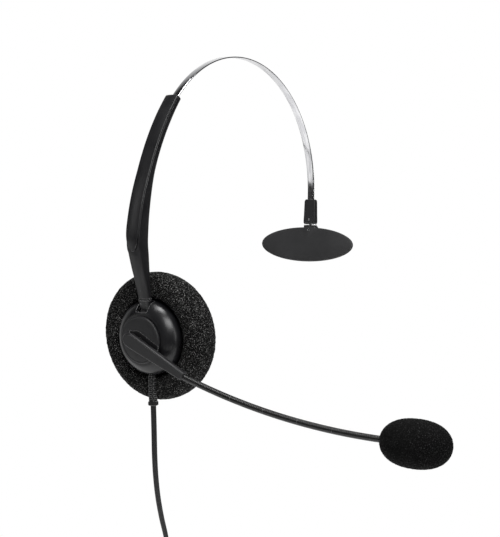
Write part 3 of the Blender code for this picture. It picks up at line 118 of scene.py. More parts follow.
def turned(name: str, profile: Sequence[Point], steps: int = 96, ring: bool = False) -> bpy.types.Object:
    """Spins a profile about z into a closed body.

    Args:
        name: The new object's name.
        profile: (radius, height) points down the outer side.
        steps: Faces round the axis.
        ring: The profile closes on itself and the body has a hole.

    Returns:
        The new object, in its own frame.
    """
    bpy.ops.mesh.primitive_plane_add(size=MM, location=(0, 0, 0))
    obj = bpy.context.active_object
    obj.name = name
    places = [Vector((radius, 0.0, height)) for radius, height in profile]
    with editing(obj):
        bpy.ops.mesh.select_all(action="SELECT")
        bpy.ops.mesh.merge(type="CENTER")
        bpy.ops.transform.translate(value=places[0])
        for before, after in zip(places, places[1:] + places[:1] * ring):
            extrude(after - before)
        bpy.ops.mesh.select_all(action="SELECT")
        bpy.ops.mesh.remove_doubles(threshold=1e-6)
        bpy.ops.mesh.select_all(action="SELECT")
        bpy.ops.mesh.spin(steps=steps, angle=math.tau, center=(0, 0, 0), axis=(0, 0, 1), use_auto_merge=True)
        tidy()
    return obj


def lofted(name: str, rings: Sequence[Sequence[Vector]]) -> bpy.types.Object:
    """Extrudes a disc once for each ring, then moves its points onto the rings.

    Args:
        name: The new object's name.
        rings: Rings of equally many points, from one end of the body to the other.

    Returns:
        The new closed object.
    """
    around = len(rings[0])
    bpy.ops.mesh.primitive_circle_add(vertices=around, radius=1.0, fill_type="NGON", location=(0, 0, 0))
    obj = bpy.context.active_object
    obj.name = name
    with editing(obj):
        bpy.ops.mesh.select_all(action="SELECT")
        for _ in rings[1:]:
            extrude(Vector((0.0, 0.0, 1.0)))
    for vertex in obj.data.vertices:
        turn = (math.atan2(vertex.co.y, vertex.co.x) / math.tau - 0.25) * around
        vertex.co = rings[round(vertex.co.z)][round(turn) % around]
    with editing(obj):
        tidy()
    return obj


def carve(obj: bpy.types.Object, tool: bpy.types.Object, operation: str = "DIFFERENCE") -> None:
    """Cuts or joins with another object, which is used up.

    Args:
        obj: The object that is changed.
        tool: The cutter or the addition.
        operation: DIFFERENCE, UNION or INTERSECT.
    """
    select_only(obj)
    modifier = obj.modifiers.new("cut", "BOOLEAN")
    modifier.operation = operation
    modifier.solver = "EXACT"
    modifier.object = tool
    bpy.ops.object.modifier_apply(modifier=modifier.name)
    bpy.data.objects.remove(tool)


def moved(obj: bpy.types.Object, place: Matrix) -> bpy.types.Object:
    """Moves a mesh's points by a matrix, so that its object stays at the origin."""
    obj.data.transform(place)
    return obj


def arc(radius_x: float, radius_y: float, start: float, end: float, count: int,
        centre: Point = (0.0, 0.0), power: float = 2.0) -> list[Point]:
    """Points on an arc of an ellipse.

    Args:
        radius_x: Half its width.
        radius_y: Half its height.
        start: First angle, in degrees.
        end: Last angle, in degrees.
        count: Number of steps.
        centre: The ellipse's middle.
        power: 2 for an ellipse, more for a squarer one.

    Returns:
        One more point than there are steps.
    """
    found = []
    for i in range(count + 1):
        angle = math.radians(start + (end - start) * i / count)
        across = math.copysign(abs(math.cos(angle)) ** (2 / power), math.cos(angle))
        along = math.copysign(abs(math.sin(angle)) ** (2 / power), math.sin(angle))
        found.append((centre[0] + radius_x * across, centre[1] + radius_y * along))
    return found


def rounded(half: float, low: float, high: float, low_corner: float, high_corner: float,
            count: int = 4) -> list[Point]:
    """A rectangle with rounded corners, as one ring of points.

    Args:
        half: Half its width.
        low: Its lower edge.
        high: Its upper edge.
        low_corner: Radius of the two lower corners.
        high_corner: Radius of the two upper corners.
        count: Steps round each corner.

    Returns:
        The ring, anticlockwise from the right.
    """
    ring: list[Point] = []
    for side, top, corner, turn in ((1, 1, high_corner, 0), (-1, 1, high_corner, 90), (-1, 0, low_corner, 180),
                                    (1, 0, low_corner, 270)):
        middle = (side * (half - corner), high - corner if top else low + corner)
        ring += arc(corner, corner, turn, turn + 90, count, middle)
    return ring


def shrunk(ring: Sequence[Point], inset: float) -> list[Point]:
    """A flat ring with every point moved inward by a distance, along its own normal."""
    found = []
    for i, (x, y) in enumerate(ring):
        before, after = Vector(ring[i - 1]), Vector(ring[(i + 1) % len(ring)])
        tangent = (after - before).normalized()
        found.append((x - tangent.y * inset, y + tangent.x * inset))
    return found


def in_mm(points: Sequence[Point]) -> list[Point]:
    """Flat points that are given in millimetres, in metres."""
    return [(a * MM, b * MM) for a, b in points]


def plate(name: str, ring: Sequence[Point], levels: Sequence[Point]) -> bpy.types.Object:
    """A flat body with shaped edges.

    Args:
        name: The new object's name.
        ring: Its outline, anticlockwise.
        levels: (height, inset) pairs from the bottom up.

    Returns:
        The new object.
    """
    return lofted(name, [[Vector((x, y, height)) for x, y in shrunk(ring, inset)] for height, inset in levels])


def tube_rings(path: Sequence[Vector], ring: Sequence[Point],
               across: Callable[[int], Vector]) -> list[list[Vector]]:
    """Rings along a path, kept square to it.

    Args:
        path: Points down the middle.
        ring: The flat ring.
        across: The direction that the ring's first axis keeps to, at each point's number.

    Returns:
        One ring for each point.
    """
    rings = []
    for i, point in enumerate(path):
        along = (path[min(i + 1, len(path) - 1)] - path[max(i - 1, 0)]).normalized()
        second = along.cross(across(i)).normalized()
        first = second.cross(along)
        rings.append([point + first * a + second * b for a, b in ring])
    return rings


def seat(origin: Vector, x: Vector, y: Vector) -> Matrix:
    """A frame with its origin and its first two axes given."""
    z = x.cross(y)
    return Matrix((
        (x[0], y[0], z[0], origin[0]),
        (x[1], y[1], z[1], origin[1]),
        (x[2], y[2], z[2], origin[2]),
        (0, 0, 0, 1),
    ))


def leaning(degrees: float) -> Vector:
    """The upward direction that leans outward by an angle."""
    return Vector((-math.sin(math.radians(degrees)), 0.0, math.cos(math.radians(degrees))))


# ---------------------------------------------------------------- finishes


class Wiring:
    """A node tree with short ways to add and join nodes."""

    def __init__(self, tree: bpy.types.NodeTree) -> None:
        """Starts from an empty tree."""
        self.tree = tree
        tree.nodes.clear()

    def node(self, kind: str, values: dict[str, object] | None = None, **settings: object) -> bpy.types.Node:
        """Adds a node.

        Args:
            kind: The node's type name without its ShaderNode prefix.
            values: Numbers, colours or other nodes' sockets, by socket name.
            settings: The node's own properties.

        Returns:
            The node.
        """
        made = self.tree.nodes.new(kind if kind.startswith("Node") else "ShaderNode" + kind)
        for name, value in settings.items():
            setattr(made, name, value)
        for name, value in (values or {}).items():
            if isinstance(value, bpy.types.NodeSocket):
                self.tree.links.new(value, made.inputs[name])
            else:
                made.inputs[name].default_value = value
        return made

    def ramp(self, value: bpy.types.NodeSocket, low: float, high: float, to_low: float = 0.0,
             to_high: float = 1.0) -> bpy.types.NodeSocket:
        """Maps one range of values onto another."""
        made = self.node("MapRange", {"Value": value, "From Min": low, "From Max": high, "To Min": to_low,
                                      "To Max": to_high})
        return made.outputs["Result"]

    def tint(self, mask: bpy.types.NodeSocket, first: Colour, second: Colour) -> bpy.types.NodeSocket:
        """Goes from one colour to another as a mask goes from 0 to 1."""
        made = self.node("Mix", data_type="RGBA")
        self.tree.links.new(mask, made.inputs[0])
        made.inputs[6].default_value = (*first, 1.0)
        made.inputs[7].default_value = (*second, 1.0)
        return made.outputs[2]

    def shader(self, values: dict[str, object]) -> None:
        """Ends the tree in a Principled shader with these sockets set."""
        shader = self.node("BsdfPrincipled", values)
        output = self.node("OutputMaterial")
        self.tree.links.new(shader.outputs["BSDF"], output.inputs["Surface"])


def new_group(name: str, inputs: Sequence[tuple[str, str]], outputs: Sequence[str]
              ) -> tuple[Wiring, bpy.types.Node, bpy.types.Node]:
    """Starts a shared effect.

    Args:
        name: The group's name.
        inputs: (name, socket type) pairs.
        outputs: Names of its number outputs.

    Returns:
        The group's wiring, its input node and its output node.
    """
    group = bpy.data.node_groups.new(name, "ShaderNodeTree")
    for label, kind in inputs:
        group.interface.new_socket(label, in_out="INPUT", socket_type="NodeSocket" + kind)
    for label in outputs:
        group.interface.new_socket(label, in_out="OUTPUT", socket_type="NodeSocketFloat")
    wiring = Wiring(group)
    return wiring, wiring.node("NodeGroupInput"), wiring.node("NodeGroupOutput")


def grain_group() -> bpy.types.NodeTree:
    """The fine eroded grain of moulded plastic and its broad unevenness, shared by many finishes."""
    wiring, given, result = new_group("moulded_grain", [("Vector", "Vector"), ("Scale", "Float")], ["Height", "Tone"])
    fine = wiring.node("TexNoise", {"Vector": given.outputs["Vector"], "Scale": given.outputs["Scale"], "Detail": 3.0,
                                   "Roughness": 0.65})
    broad = wiring.node("TexNoise", {"Vector": given.outputs["Vector"], "Scale": 90.0, "Detail": 2.0})
    wiring.tree.links.new(fine.outputs["Fac"], result.inputs["Height"])
    wiring.tree.links.new(broad.outputs["Fac"], result.inputs["Tone"])
    return wiring.tree


def edge_highlight_group() -> bpy.types.NodeTree:
    """The mask of a piece's outer edges, where a painted highlight lightens them, shared by the moulded finishes."""
    wiring, given, result = new_group("painted_edge_highlight", [("Radius", "Float")], ["Edge"])
    round_normal = wiring.node("Bevel", {"Radius": given.outputs["Radius"]}, samples=6)
    flat = wiring.node("NewGeometry")
    facing = wiring.node("VectorMath", {0: round_normal.outputs["Normal"], 1: flat.outputs["Normal"]},
                        operation="DOT_PRODUCT")
    wiring.tree.links.new(wiring.ramp(facing.outputs["Value"], 0.97, 0.80), result.inputs["Edge"])
    return wiring.tree


def cell_group() -> bpy.types.NodeTree:
    """Open foam cells: their walls' height, a mask of painted glints on a few walls, and broad tone, shared by both
    foams.
    """
    wiring, given, result = new_group("foam_cells", [("Vector", "Vector"), ("Scale", "Float")],
                                     ["Height", "Glint", "Tone"])
    cells = wiring.node("TexVoronoi", {"Vector": given.outputs["Vector"], "Scale": given.outputs["Scale"]},
                       feature="F1")
    apart = wiring.node("SeparateColor", {"Color": cells.outputs["Color"]})
    specks = wiring.node("TexNoise", {"Vector": given.outputs["Vector"], "Scale": given.outputs["Scale"],
                                     "Detail": 1.0, "Roughness": 0.7})
    chosen = wiring.ramp(specks.outputs["Fac"], 0.58, 0.74)
    centre = wiring.ramp(apart.outputs["Red"], 0.1, 0.8)
    glint = wiring.node("Math", {0: chosen, 1: centre}, operation="MULTIPLY")
    broad = wiring.node("TexNoise", {"Vector": given.outputs["Vector"], "Scale": 120.0, "Detail": 3.0})
    wiring.tree.links.new(cells.outputs["Distance"], result.inputs["Height"])
    wiring.tree.links.new(glint.outputs["Value"], result.inputs["Glint"])
    wiring.tree.links.new(broad.outputs["Fac"], result.inputs["Tone"])
    return wiring.tree


GRAIN = grain_group()
EDGES = edge_highlight_group()
CELLS = cell_group()


class Finish:
    """A named finish that makes its material once."""

    slot: str

    def paint(self, wiring: Wiring) -> None:
        """Fills the material's node tree."""
        raise NotImplementedError

    def material(self) -> bpy.types.Material:
        """The finish's material."""
        found = bpy.data.materials.get(f"{self.slot}_finish")
        if found is None:
            found = bpy.data.materials.new(f"{self.slot}_finish")
            found.use_nodes = True
            self.paint(Wiring(found.node_tree))
        return found

    def dress(self, obj: bpy.types.Object) -> None:
        """Gives an object this finish and no other."""
        obj.data.materials.clear()
        obj.data.materials.append(self.material())


@dataclass(frozen=True)
class Moulded(Finish):
    """Moulded plastic or rubber with an eroded grain and a painted highlight along its outer edges."""

    slot: str
    colour: Colour
    light_colour: Colour
    roughness: float
    grain_depth: float = 0.00002
    grain_scale: float = 2600.0
    specular: float = 0.4
    # Grey of the painted highlight along outer edges, which stands in for the light that thin edges catch.
    edge_highlight_colour: float = 0.35

    def paint(self, wiring: Wiring) -> None:
        """Fills the material's node tree."""
        place = wiring.node("TexCoord").outputs["Object"]
        grain = wiring.node("Group", node_tree=GRAIN)
        wiring.tree.links.new(place, grain.inputs["Vector"])
        grain.inputs["Scale"].default_value = self.grain_scale
        tone = wiring.ramp(grain.outputs["Tone"], 0.3, 0.7)
        bump = wiring.node("Bump", {"Height": grain.outputs["Height"], "Distance": self.grain_depth, "Strength": 0.6})
        # Painted highlight: outer edges are mixed towards a lighter grey, in place of the light that rounded edges
        # catch.
        edges = wiring.node("Group", node_tree=EDGES)
        edges.inputs["Radius"].default_value = EDGE_HIGHLIGHT_WIDTH
        edge_highlighted = wiring.node("Mix", {0: edges.outputs["Edge"]}, data_type="RGBA")
        wiring.tree.links.new(wiring.tint(tone, self.colour, self.light_colour), edge_highlighted.inputs[6])
        edge_highlighted.inputs[7].default_value = (self.edge_highlight_colour, self.edge_highlight_colour, self.edge_highlight_colour, 1.0)
        wiring.shader({
            "Base Color": edge_highlighted.outputs[2],
            "Roughness": wiring.ramp(grain.outputs["Tone"], 0.3, 0.7, self.roughness - 0.04, self.roughness + 0.04),
            "Specular IOR Level": self.specular,
            "Normal": bump.outputs["Normal"],
        })


@dataclass(frozen=True)
class Metal(Finish):
    """Polished or plain metal with faint drawing lines."""

    slot: str
    colour: Colour
    dark_colour: Colour
    roughness: float
    lines: Triple

    def paint(self, wiring: Wiring) -> None:
        """Fills the material's node tree."""
        place = wiring.node("Mapping", {"Vector": wiring.node("TexCoord").outputs["Object"], "Scale": self.lines})
        lines = wiring.node("TexNoise", {"Vector": place.outputs["Vector"], "Scale": 900.0, "Detail": 2.0})
        bump = wiring.node("Bump", {"Height": lines.outputs["Fac"], "Distance": 0.000004, "Strength": 0.35})
        wiring.shader({
            "Base Color": wiring.tint(wiring.ramp(lines.outputs["Fac"], 0.35, 0.65), self.colour, self.dark_colour),
            "Roughness": wiring.ramp(lines.outputs["Fac"], 0.3, 0.7, self.roughness - 0.04, self.roughness + 0.05),
            "Metallic": 1.0,
            "Normal": bump.outputs["Normal"],
        })


@dataclass(frozen=True)
class Foam(Finish):
    """Open-cell foam: black cells with painted glints on a few walls."""

    slot: str
    cell: float
    colour: Colour
    painted_glint_colour: Colour

    def paint(self, wiring: Wiring) -> None:
        """Fills the material's node tree."""
        place = wiring.node("TexCoord").outputs["Object"]
        cells = wiring.node("Group", node_tree=CELLS)
        wiring.tree.links.new(place, cells.inputs["Vector"])
        cells.inputs["Scale"].default_value = 1 / self.cell
        # Painted glints: a few cell walls get a light grey colour where light would sparkle off them.
        base = wiring.node("Mix", data_type="RGBA")
        wiring.tree.links.new(cells.outputs["Glint"], base.inputs[0])
        dark = wiring.tint(wiring.ramp(cells.outputs["Height"], 0.1, 0.7), (0.003, 0.003, 0.003), self.colour)
        wiring.tree.links.new(dark, base.inputs[6])
        base.inputs[7].default_value = (*self.painted_glint_colour, 1.0)
        bump = wiring.node("Bump", {"Height": cells.outputs["Height"], "Distance": 0.35 * self.cell, "Strength": 1.0})
        wiring.shader({
            "Base Color": base.outputs[2],
            "Roughness": wiring.ramp(cells.outputs["Glint"], 0.0, 1.0, 0.9, 0.45),
            "Specular IOR Level": 0.08,
            "Normal": bump.outputs["Normal"],
        })


@dataclass(frozen=True)
class Cloth(Finish):
    """A thin woven screen."""

    slot: str
    colour: Colour
    pitch: float = 0.0005

    def paint(self, wiring: Wiring) -> None:
        """Fills the material's node tree."""
        place = wiring.node("TexCoord").outputs["Object"]
        threads = []
        for turn in (0.0, math.pi / 2):
            turned_place = wiring.node("Mapping", {"Vector": place, "Rotation": (turn, 0.0, 0.0)})
            wave = wiring.node("TexWave", {"Vector": turned_place.outputs["Vector"], "Scale": 0.3 / self.pitch},
                              bands_direction="Y")
            threads.append(wave.outputs["Fac"])
        weave = wiring.node("Math", {0: threads[0], 1: threads[1]}, operation="MAXIMUM")
        bump = wiring.node("Bump", {"Height": weave.outputs["Value"], "Distance": 0.0001})
        dark = tuple(0.3 * part for part in self.colour)
        wiring.shader({
            "Base Color": wiring.tint(weave.outputs["Value"], dark, self.colour),
            "Roughness": 0.9,
            "Normal": bump.outputs["Normal"],
        })


class Look(Enum):
    """Every finish on the headset."""

    POLISHED_STEEL = Metal("polished_steel", (0.80, 0.80, 0.81), (0.62, 0.62, 0.64), 0.14, (0.15, 1.0, 0.15))
    PLAIN_STEEL = Metal("plain_steel", (0.62, 0.62, 0.63), (0.45, 0.45, 0.46), 0.3, (1.0, 0.3, 1.0))
    COPPER = Metal("copper", (0.75, 0.38, 0.22), (0.55, 0.26, 0.14), 0.3, (1.0, 1.0, 0.1))
    SATIN_BLACK = Moulded("satin_black", (0.007, 0.007, 0.008), (0.011, 0.011, 0.012), 0.36)
    GLOSS_BLACK = Moulded("gloss_black", (0.006, 0.006, 0.007), (0.009, 0.009, 0.010), 0.30, 0.000008)
    MATTE_BLACK = Moulded("matte_black", (0.008, 0.008, 0.009), (0.013, 0.013, 0.014), 0.46, 0.00003)
    PAD_SKIN = Moulded("pad_skin", (0.012, 0.012, 0.013), (0.019, 0.019, 0.020), 0.72, 0.00006, 1800.0, 0.4)
    GOOSENECK_BLACK = Moulded("gooseneck_black", (0.008, 0.008, 0.008), (0.010, 0.010, 0.010), 0.19, 0.000008)
    BLACK_RUBBER = Moulded("black_rubber", (0.006, 0.006, 0.006), (0.010, 0.010, 0.010), 0.45, 0.00003)
    CORD_JACKET = Moulded("cord_jacket", (0.010, 0.010, 0.010), (0.015, 0.015, 0.016), 0.42, 0.000015)
    CONTACT_BLACK = Moulded("contact_black", (0.012, 0.012, 0.012), (0.020, 0.020, 0.020), 0.45)
    CLEAR_FILM = Moulded("clear_film", (0.45, 0.44, 0.40), (0.52, 0.50, 0.45), 0.3, 0.00001)
    CIRCUIT_BOARD = Moulded("circuit_board", (0.010, 0.10, 0.035), (0.015, 0.14, 0.05), 0.4, 0.00001)
    CUSHION_FOAM = Foam("cushion_foam", 0.00034, (0.002, 0.002, 0.002), (0.48, 0.48, 0.47))
    WINDSCREEN_FOAM = Foam("windscreen_foam", 0.00036, (0.002, 0.002, 0.002), (0.06, 0.06, 0.06))
    DUST_CLOTH = Cloth("dust_cloth", (0.03, 0.03, 0.03))


def finish_piece(obj: bpy.types.Object, look: Look, place: Matrix, body: str, nodes: Sequence[str],
                 smooth: float = 35.0) -> bpy.types.Object:
    """Puts a piece in its place, smooths it, dresses it and hangs it on its body.

    Args:
        obj: The piece, in its own frame.
        look: Its finish.
        place: Its frame in the row frame.
        body: The body that it rides on.
        nodes: The frame's nodes that it stands for.
        smooth: Edges flatter than this many degrees are smoothed.

    Returns:
        The piece.
    """
    moved(obj, place)
    select_only(obj)
    bpy.ops.object.shade_smooth_by_angle(angle=math.radians(smooth))
    look.value.dress(obj)
    if body:
        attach(obj, body)
    if nodes:
        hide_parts(*nodes)
    LOG.info("%s: %d faces on %s", obj.name, len(obj.data.polygons), body or "two bodies")
    return obj


def block(name: str, size: Triple, centre: Triple, corner: float = 0.0) -> bpy.types.Object:
    """A box with its edges rounded.

    Args:
        name: The new object's name.
        size: Its three sides.
        centre: Its middle.
        corner: Radius of its edges.

    Returns:
        The new object.
    """
    bpy.ops.mesh.primitive_cube_add(size=1.0, location=(0, 0, 0))
    obj = bpy.context.active_object
    obj.name = name
    moved(obj, Matrix.Translation(centre) @ Matrix.Diagonal((*size, 1.0)))
    if corner:
        with editing(obj):
            bpy.ops.mesh.select_all(action="SELECT")
            bpy.ops.mesh.bevel(offset=corner, segments=3, affect="EDGES")
    return obj


def rod(name: str, radius: float, low: float, high: float, steps: int = 32) -> bpy.types.Object:
    """A plain round body along z, for cutting or joining."""
    return turned(name, [(0.0, high), (radius, high), (radius, low), (0.0, low)], steps)


# ---------------------------------------------------------------- headband and arm


@dataclass(frozen=True)
class StripLine:
    """The line of the steel strip, in the plane y = 0: straight tail, head arc, slider arc."""

    head_radius: float = 66.45 * MM
    head_centre: float = -66.15 * MM
    slider_radius: float = 114.2 * MM
    head_end: float = math.radians(142.7)
    head_start: float = math.radians(-2.0)
    tail: float = 11.0 * MM
    in_arm: float = 36.4 * MM

    def span(self) -> float:
        """Length of the head arc."""
        return (self.head_end - self.head_start) * self.head_radius

    def at(self, distance: float) -> tuple[Vector, Vector]:
        """The strip's middle and its outward normal.

        Args:
            distance: Length below the start of the slider arc, negative over the head.

        Returns:
            The point and the normal.
        """
        beyond = max(0.0, -self.span() - distance)
        if distance > 0:
            centre, radius = JOINT_PLACES["headband_adjust"], self.slider_radius
        else:
            centre, radius = Vector((0.0, 0.0, self.head_centre)), self.head_radius
        angle = self.head_end + (distance + beyond) / radius
        normal = Vector((math.cos(angle), 0.0, math.sin(angle)))
        return centre + radius * normal + beyond * Vector((normal.z, 0.0, -normal.x)), normal

    def rings(self, start: float, end: float, step: float, ring: Sequence[Point]) -> list[list[Vector]]:
        """Copies of a flat ring, of (across, outward) points, along the strip."""
        count = max(1, round((end - start) / step))
        found = []
        for i in range(count + 1):
            point, normal = self.at(start + (end - start) * i / count)
            found.append([point + Vector((0.0, a, 0.0)) + normal * b for a, b in ring])
        return found


@dataclass(frozen=True)
class Headband:
    """The spring-steel strip over the head."""

    line: StripLine
    width: float = 4.0 * MM
    thickness: float = 0.6 * MM
    edge: float = 0.22 * MM
    rivet_hole: float = PIN_BORE
    rivet_from_end: float = 2.4 * MM

    def build(self) -> None:
        """Builds the strip with rounded edges and the hole for its stop rivet."""
        half = self.thickness / 2
        ring = rounded(self.width / 2, -half, half, self.edge, self.edge, 3)
        start = -self.line.span() - self.line.tail
        strip = lofted("steel_strip", self.line.rings(start, self.line.in_arm, 1.8 * MM, ring))
        place, normal = self.line.at(self.line.in_arm - self.rivet_from_end)
        across = Vector((0.0, 1.0, 0.0))
        hole = rod("rivet_hole", self.rivet_hole, -2 * MM, 2 * MM, 20)
        carve(strip, moved(hole, seat(place, across, normal.cross(across))))
        finish_piece(strip, Look.POLISHED_STEEL, Matrix(), "headband", ["headband_strip"], 50.0)


@dataclass(frozen=True)
class Arm:
    """The arm that slides on the strip: an inner shell with the strip's channel, and an outer cover."""

    line: StripLine
    lead: float = 6.8 * MM
    rise: float = 0.6 * MM
    arc_length: float = 71.5 * MM
    bend_radius: float = 20.0 * MM
    tail_length: float = 22.8 * MM
    tail_lean: float = ARM_LEAN
    width: float = 7.4 * MM
    neck_width: float = 6.2 * MM
    cover_length: float = 77.2 * MM
    cover_thickness: float = 0.9 * MM
    cover_tip: float = 12.0 * MM
    tip_step: float = 0.45 * MM
    corner: float = 1.2 * MM
    slot: float = 1.3 * MM
    chamber: float = 2.1 * MM
    thickness: tuple[Point, ...] = (
        (0.00, 3.8), (0.12, 4.3), (0.40, 5.0), (0.53, 6.8), (0.63, 7.9), (0.72, 8.7), (0.78, 8.2), (0.86, 6.4),
        (0.93, 4.6), (1.00, 3.5),
    )

    def radius(self) -> float:
        """Radius of the arm's middle line."""
        return self.line.slider_radius + self.rise

    def angles(self) -> tuple[float, float, float]:
        """Where the middle line's arc starts and ends, and how much the bend after it turns."""
        start = self.line.head_end - self.lead / self.line.slider_radius
        end = start + self.arc_length / self.radius()
        return start, end, math.radians(270 + self.tail_lean) - (end + math.pi / 2)

    def length(self) -> float:
        """Length of the middle line."""
        return self.arc_length + self.angles()[2] * self.bend_radius + self.tail_length

    def at(self, distance: float) -> tuple[Vector, Vector]:
        """The middle line's point and its outward normal, at a distance below the mouth."""
        start, end, bend = self.angles()
        centre = JOINT_PLACES["headband_adjust"]
        if distance <= self.arc_length:
            angle = start + distance / self.radius()
            normal = Vector((math.cos(angle), 0.0, math.sin(angle)))
            return centre + normal * self.radius(), normal
        first = Vector((math.cos(end), 0.0, math.sin(end)))
        along = min(distance - self.arc_length, bend * self.bend_radius)
        angle = end + along / self.bend_radius
        normal = Vector((math.cos(angle), 0.0, math.sin(angle)))
        point = centre + first * (self.radius() - self.bend_radius) + normal * self.bend_radius
        return point + Vector((-normal.z, 0.0, normal.x)) * (distance - self.arc_length - along), normal

    def thick(self, distance: float) -> float:
        """The arm's thickness at a distance, drawn smoothly through its table."""
        share = distance / self.length()
        table = self.thickness
        for i in range(len(table) - 1):
            (low, first), (high, second) = table[i], table[i + 1]
            if share <= high + 1e-9:
                before = table[max(i - 1, 0)][1]
                after = table[min(i + 2, len(table) - 1)][1]
                t = (share - low) / (high - low)
                curve = 2 * first + (second - before) * t + (2 * before - 5 * first + 4 * second - after) * t**2
                return 0.5 * (curve + (3 * first - before - 3 * second + after) * t**3) * MM
        return table[-1][1] * MM

    def half_width(self, distance: float) -> float:
        """Half the arm's width, which narrows below the cover."""
        share = max(0.0, (distance - self.cover_length) / (self.length() - self.cover_length))
        return (self.width + (self.neck_width - self.width) * share) / 2

    def section(self, distance: float, half: float, low: float, high: float, corners: Point,
                crown: float) -> list[Vector]:
        """One ring round the arm.

        Args:
            distance: Where it is, below the mouth.
            half: Half its width.
            low: Its inner side, from the middle line.
            high: Its outer side.
            corners: Radii of the inner and the outer corners.
            crown: How much the outer side rises at its middle.

        Returns:
            The ring's points.
        """
        point, normal = self.at(distance)
        low_corner, high_corner = corners
        side = half - high_corner
        ring = arc(high_corner, high_corner, 0, 90, 5, (side, high - crown - high_corner))
        ring += [(side * (1 - i / 4), high - crown * (1 - i / 4) ** 2) for i in range(1, 4)]
        ring += [(-side * i / 4, high - crown * (i / 4) ** 2) for i in range(0, 4)]
        ring += arc(high_corner, high_corner, 90, 180, 5, (-side, high - crown - high_corner))
        ring += arc(low_corner, low_corner, 180, 270, 5, (low_corner - half, low + low_corner))
        ring += arc(low_corner, low_corner, 270, 360, 5, (half - low_corner, low + low_corner))
        return [point + normal * b + Vector((0.0, a, 0.0)) for a, b in ring]

    def stops(self, end: float, radius: float) -> list[Point]:
        """Distances along a piece with how far its ends round off there.

        Args:
            end: The piece's length.
            radius: Radius of its upper end's edge.

        Returns:
            (distance, inset) pairs.
        """
        round_off = [(radius * (1 - math.sin(a)), radius * (1 - math.cos(a))) for a in
                     (math.pi / 2 * (4 - i) / 4 for i in range(5))]
        count = round((end - radius) / (1.5 * MM))
        return round_off + [(radius + (end - radius) * i / count, 0.0) for i in range(1, count + 1)]

    def shell(self) -> None:
        """Builds the inner shell and cuts its channels."""
        rings = []
        for distance, inset in self.stops(self.length(), 0.5 * MM):
            thickness = self.thick(distance)
            below = distance - self.cover_length
            under = min(1.0, max(0.0, 1 - below / (0.5 * MM)))
            step = (self.cover_thickness + GAP) * under + self.tip_step * (1 - under) * max(0.0, 1 - below / (9 * MM))
            half = self.half_width(distance)
            low_corner = min(self.corner, thickness * 0.3)
            high_corner = 0.3 * MM if under == 1 else min(1.5 * MM, thickness * 0.33)
            crown = 0.0 if under == 1 else 0.35 * MM
            rings.append(self.section(distance, half - inset, -thickness / 2 + inset, thickness / 2 - step - inset,
                                      (low_corner, high_corner), crown))
        shell = lofted("arm_shell", rings)
        channels = (
            (-self.lead - 4 * MM, 4.4 * MM, -self.slot / 2, self.slot / 2, 4.6 * MM),
            (3.4 * MM, 49.4 * MM, -self.chamber / 2, self.chamber / 2, 4.8 * MM),
            (-5.4 * MM, 2.6 * MM + 2 * MM, 0.0, 2.2 * MM, 4.0 * MM),
        )
        for start, end, low, high, width in channels:
            ring = [(width / 2, high), (-width / 2, high), (-width / 2, low), (width / 2, low)]
            carve(shell, lofted("channel", self.line.rings(start, end, 3 * MM, ring)))
        room = [(0.0, 6.2), (1.9, 6.2), (1.9, 4.0), (1.15, 4.0), (1.15, -2.0), (0.0, -2.0)]
        carve(shell, moved(turned("stem_room", in_mm(room), 32), neck_frame()))
        finish_piece(shell, Look.SATIN_BLACK, Matrix(), "arm", ["arm_inner_shell"])

    def cover(self) -> None:
        """Builds the outer cover, whose lower end narrows to a leaf's tip."""
        rings = []
        for distance, inset in self.stops(self.cover_length, 0.9 * MM):
            thickness = self.thick(distance)
            into_tip = max(0.0, (distance - self.cover_length + self.cover_tip) / self.cover_tip)
            half = (self.half_width(distance) - inset) * math.sqrt(1 - (0.985 * into_tip**1.4) ** 2)
            high = thickness / 2 - 0.35 * self.cover_thickness * into_tip**3 - 0.6 * inset
            low = thickness / 2 - self.cover_thickness
            corner = min(0.42 * MM, 0.45 * half, 0.6 * (high - low))
            rings.append(self.section(distance, half, low, high, (0.12 * MM if half > MM else 0.05 * MM, corner),
                                      min(0.3 * MM, 0.2 * half, 0.3 * (high - low))))
        cover = lofted("arm_cover", rings)
        finish_piece(cover, Look.SATIN_BLACK, Matrix(), "arm", ["arm_outer_cover"])

    def build(self) -> None:
        """Builds the whole arm."""
        self.shell()
        self.cover()


def neck_frame() -> Matrix:
    """The knuckle's frame: origin in the seam, x forward, z up along the arm's lower end."""
    up = leaning(ARM_LEAN)
    return seat(JOINT_PLACES["cup_swivel"], FORWARD, up.cross(FORWARD))


def cup_frame() -> Matrix:
    """The ear cup's frame: x forward, y up, z outward."""
    return seat(JOINT_PLACES["boom_pivot"], FORWARD, leaning(CUP_LEAN))


def boom_frame() -> Matrix:
    """The boom's frame: x along the lever, z outward."""
    return cup_frame() @ Matrix.Rotation(math.radians(BOOM_TURN), 4, "Z")


def relief_frame() -> Matrix:
    """The cord strain relief's frame in the ear cup's: z away from the cup's middle."""
    return Matrix.Translation((0.0, 0.0, RELIEF_UP)) @ Matrix.Rotation(math.radians(RELIEF_TURN), 4, "X")


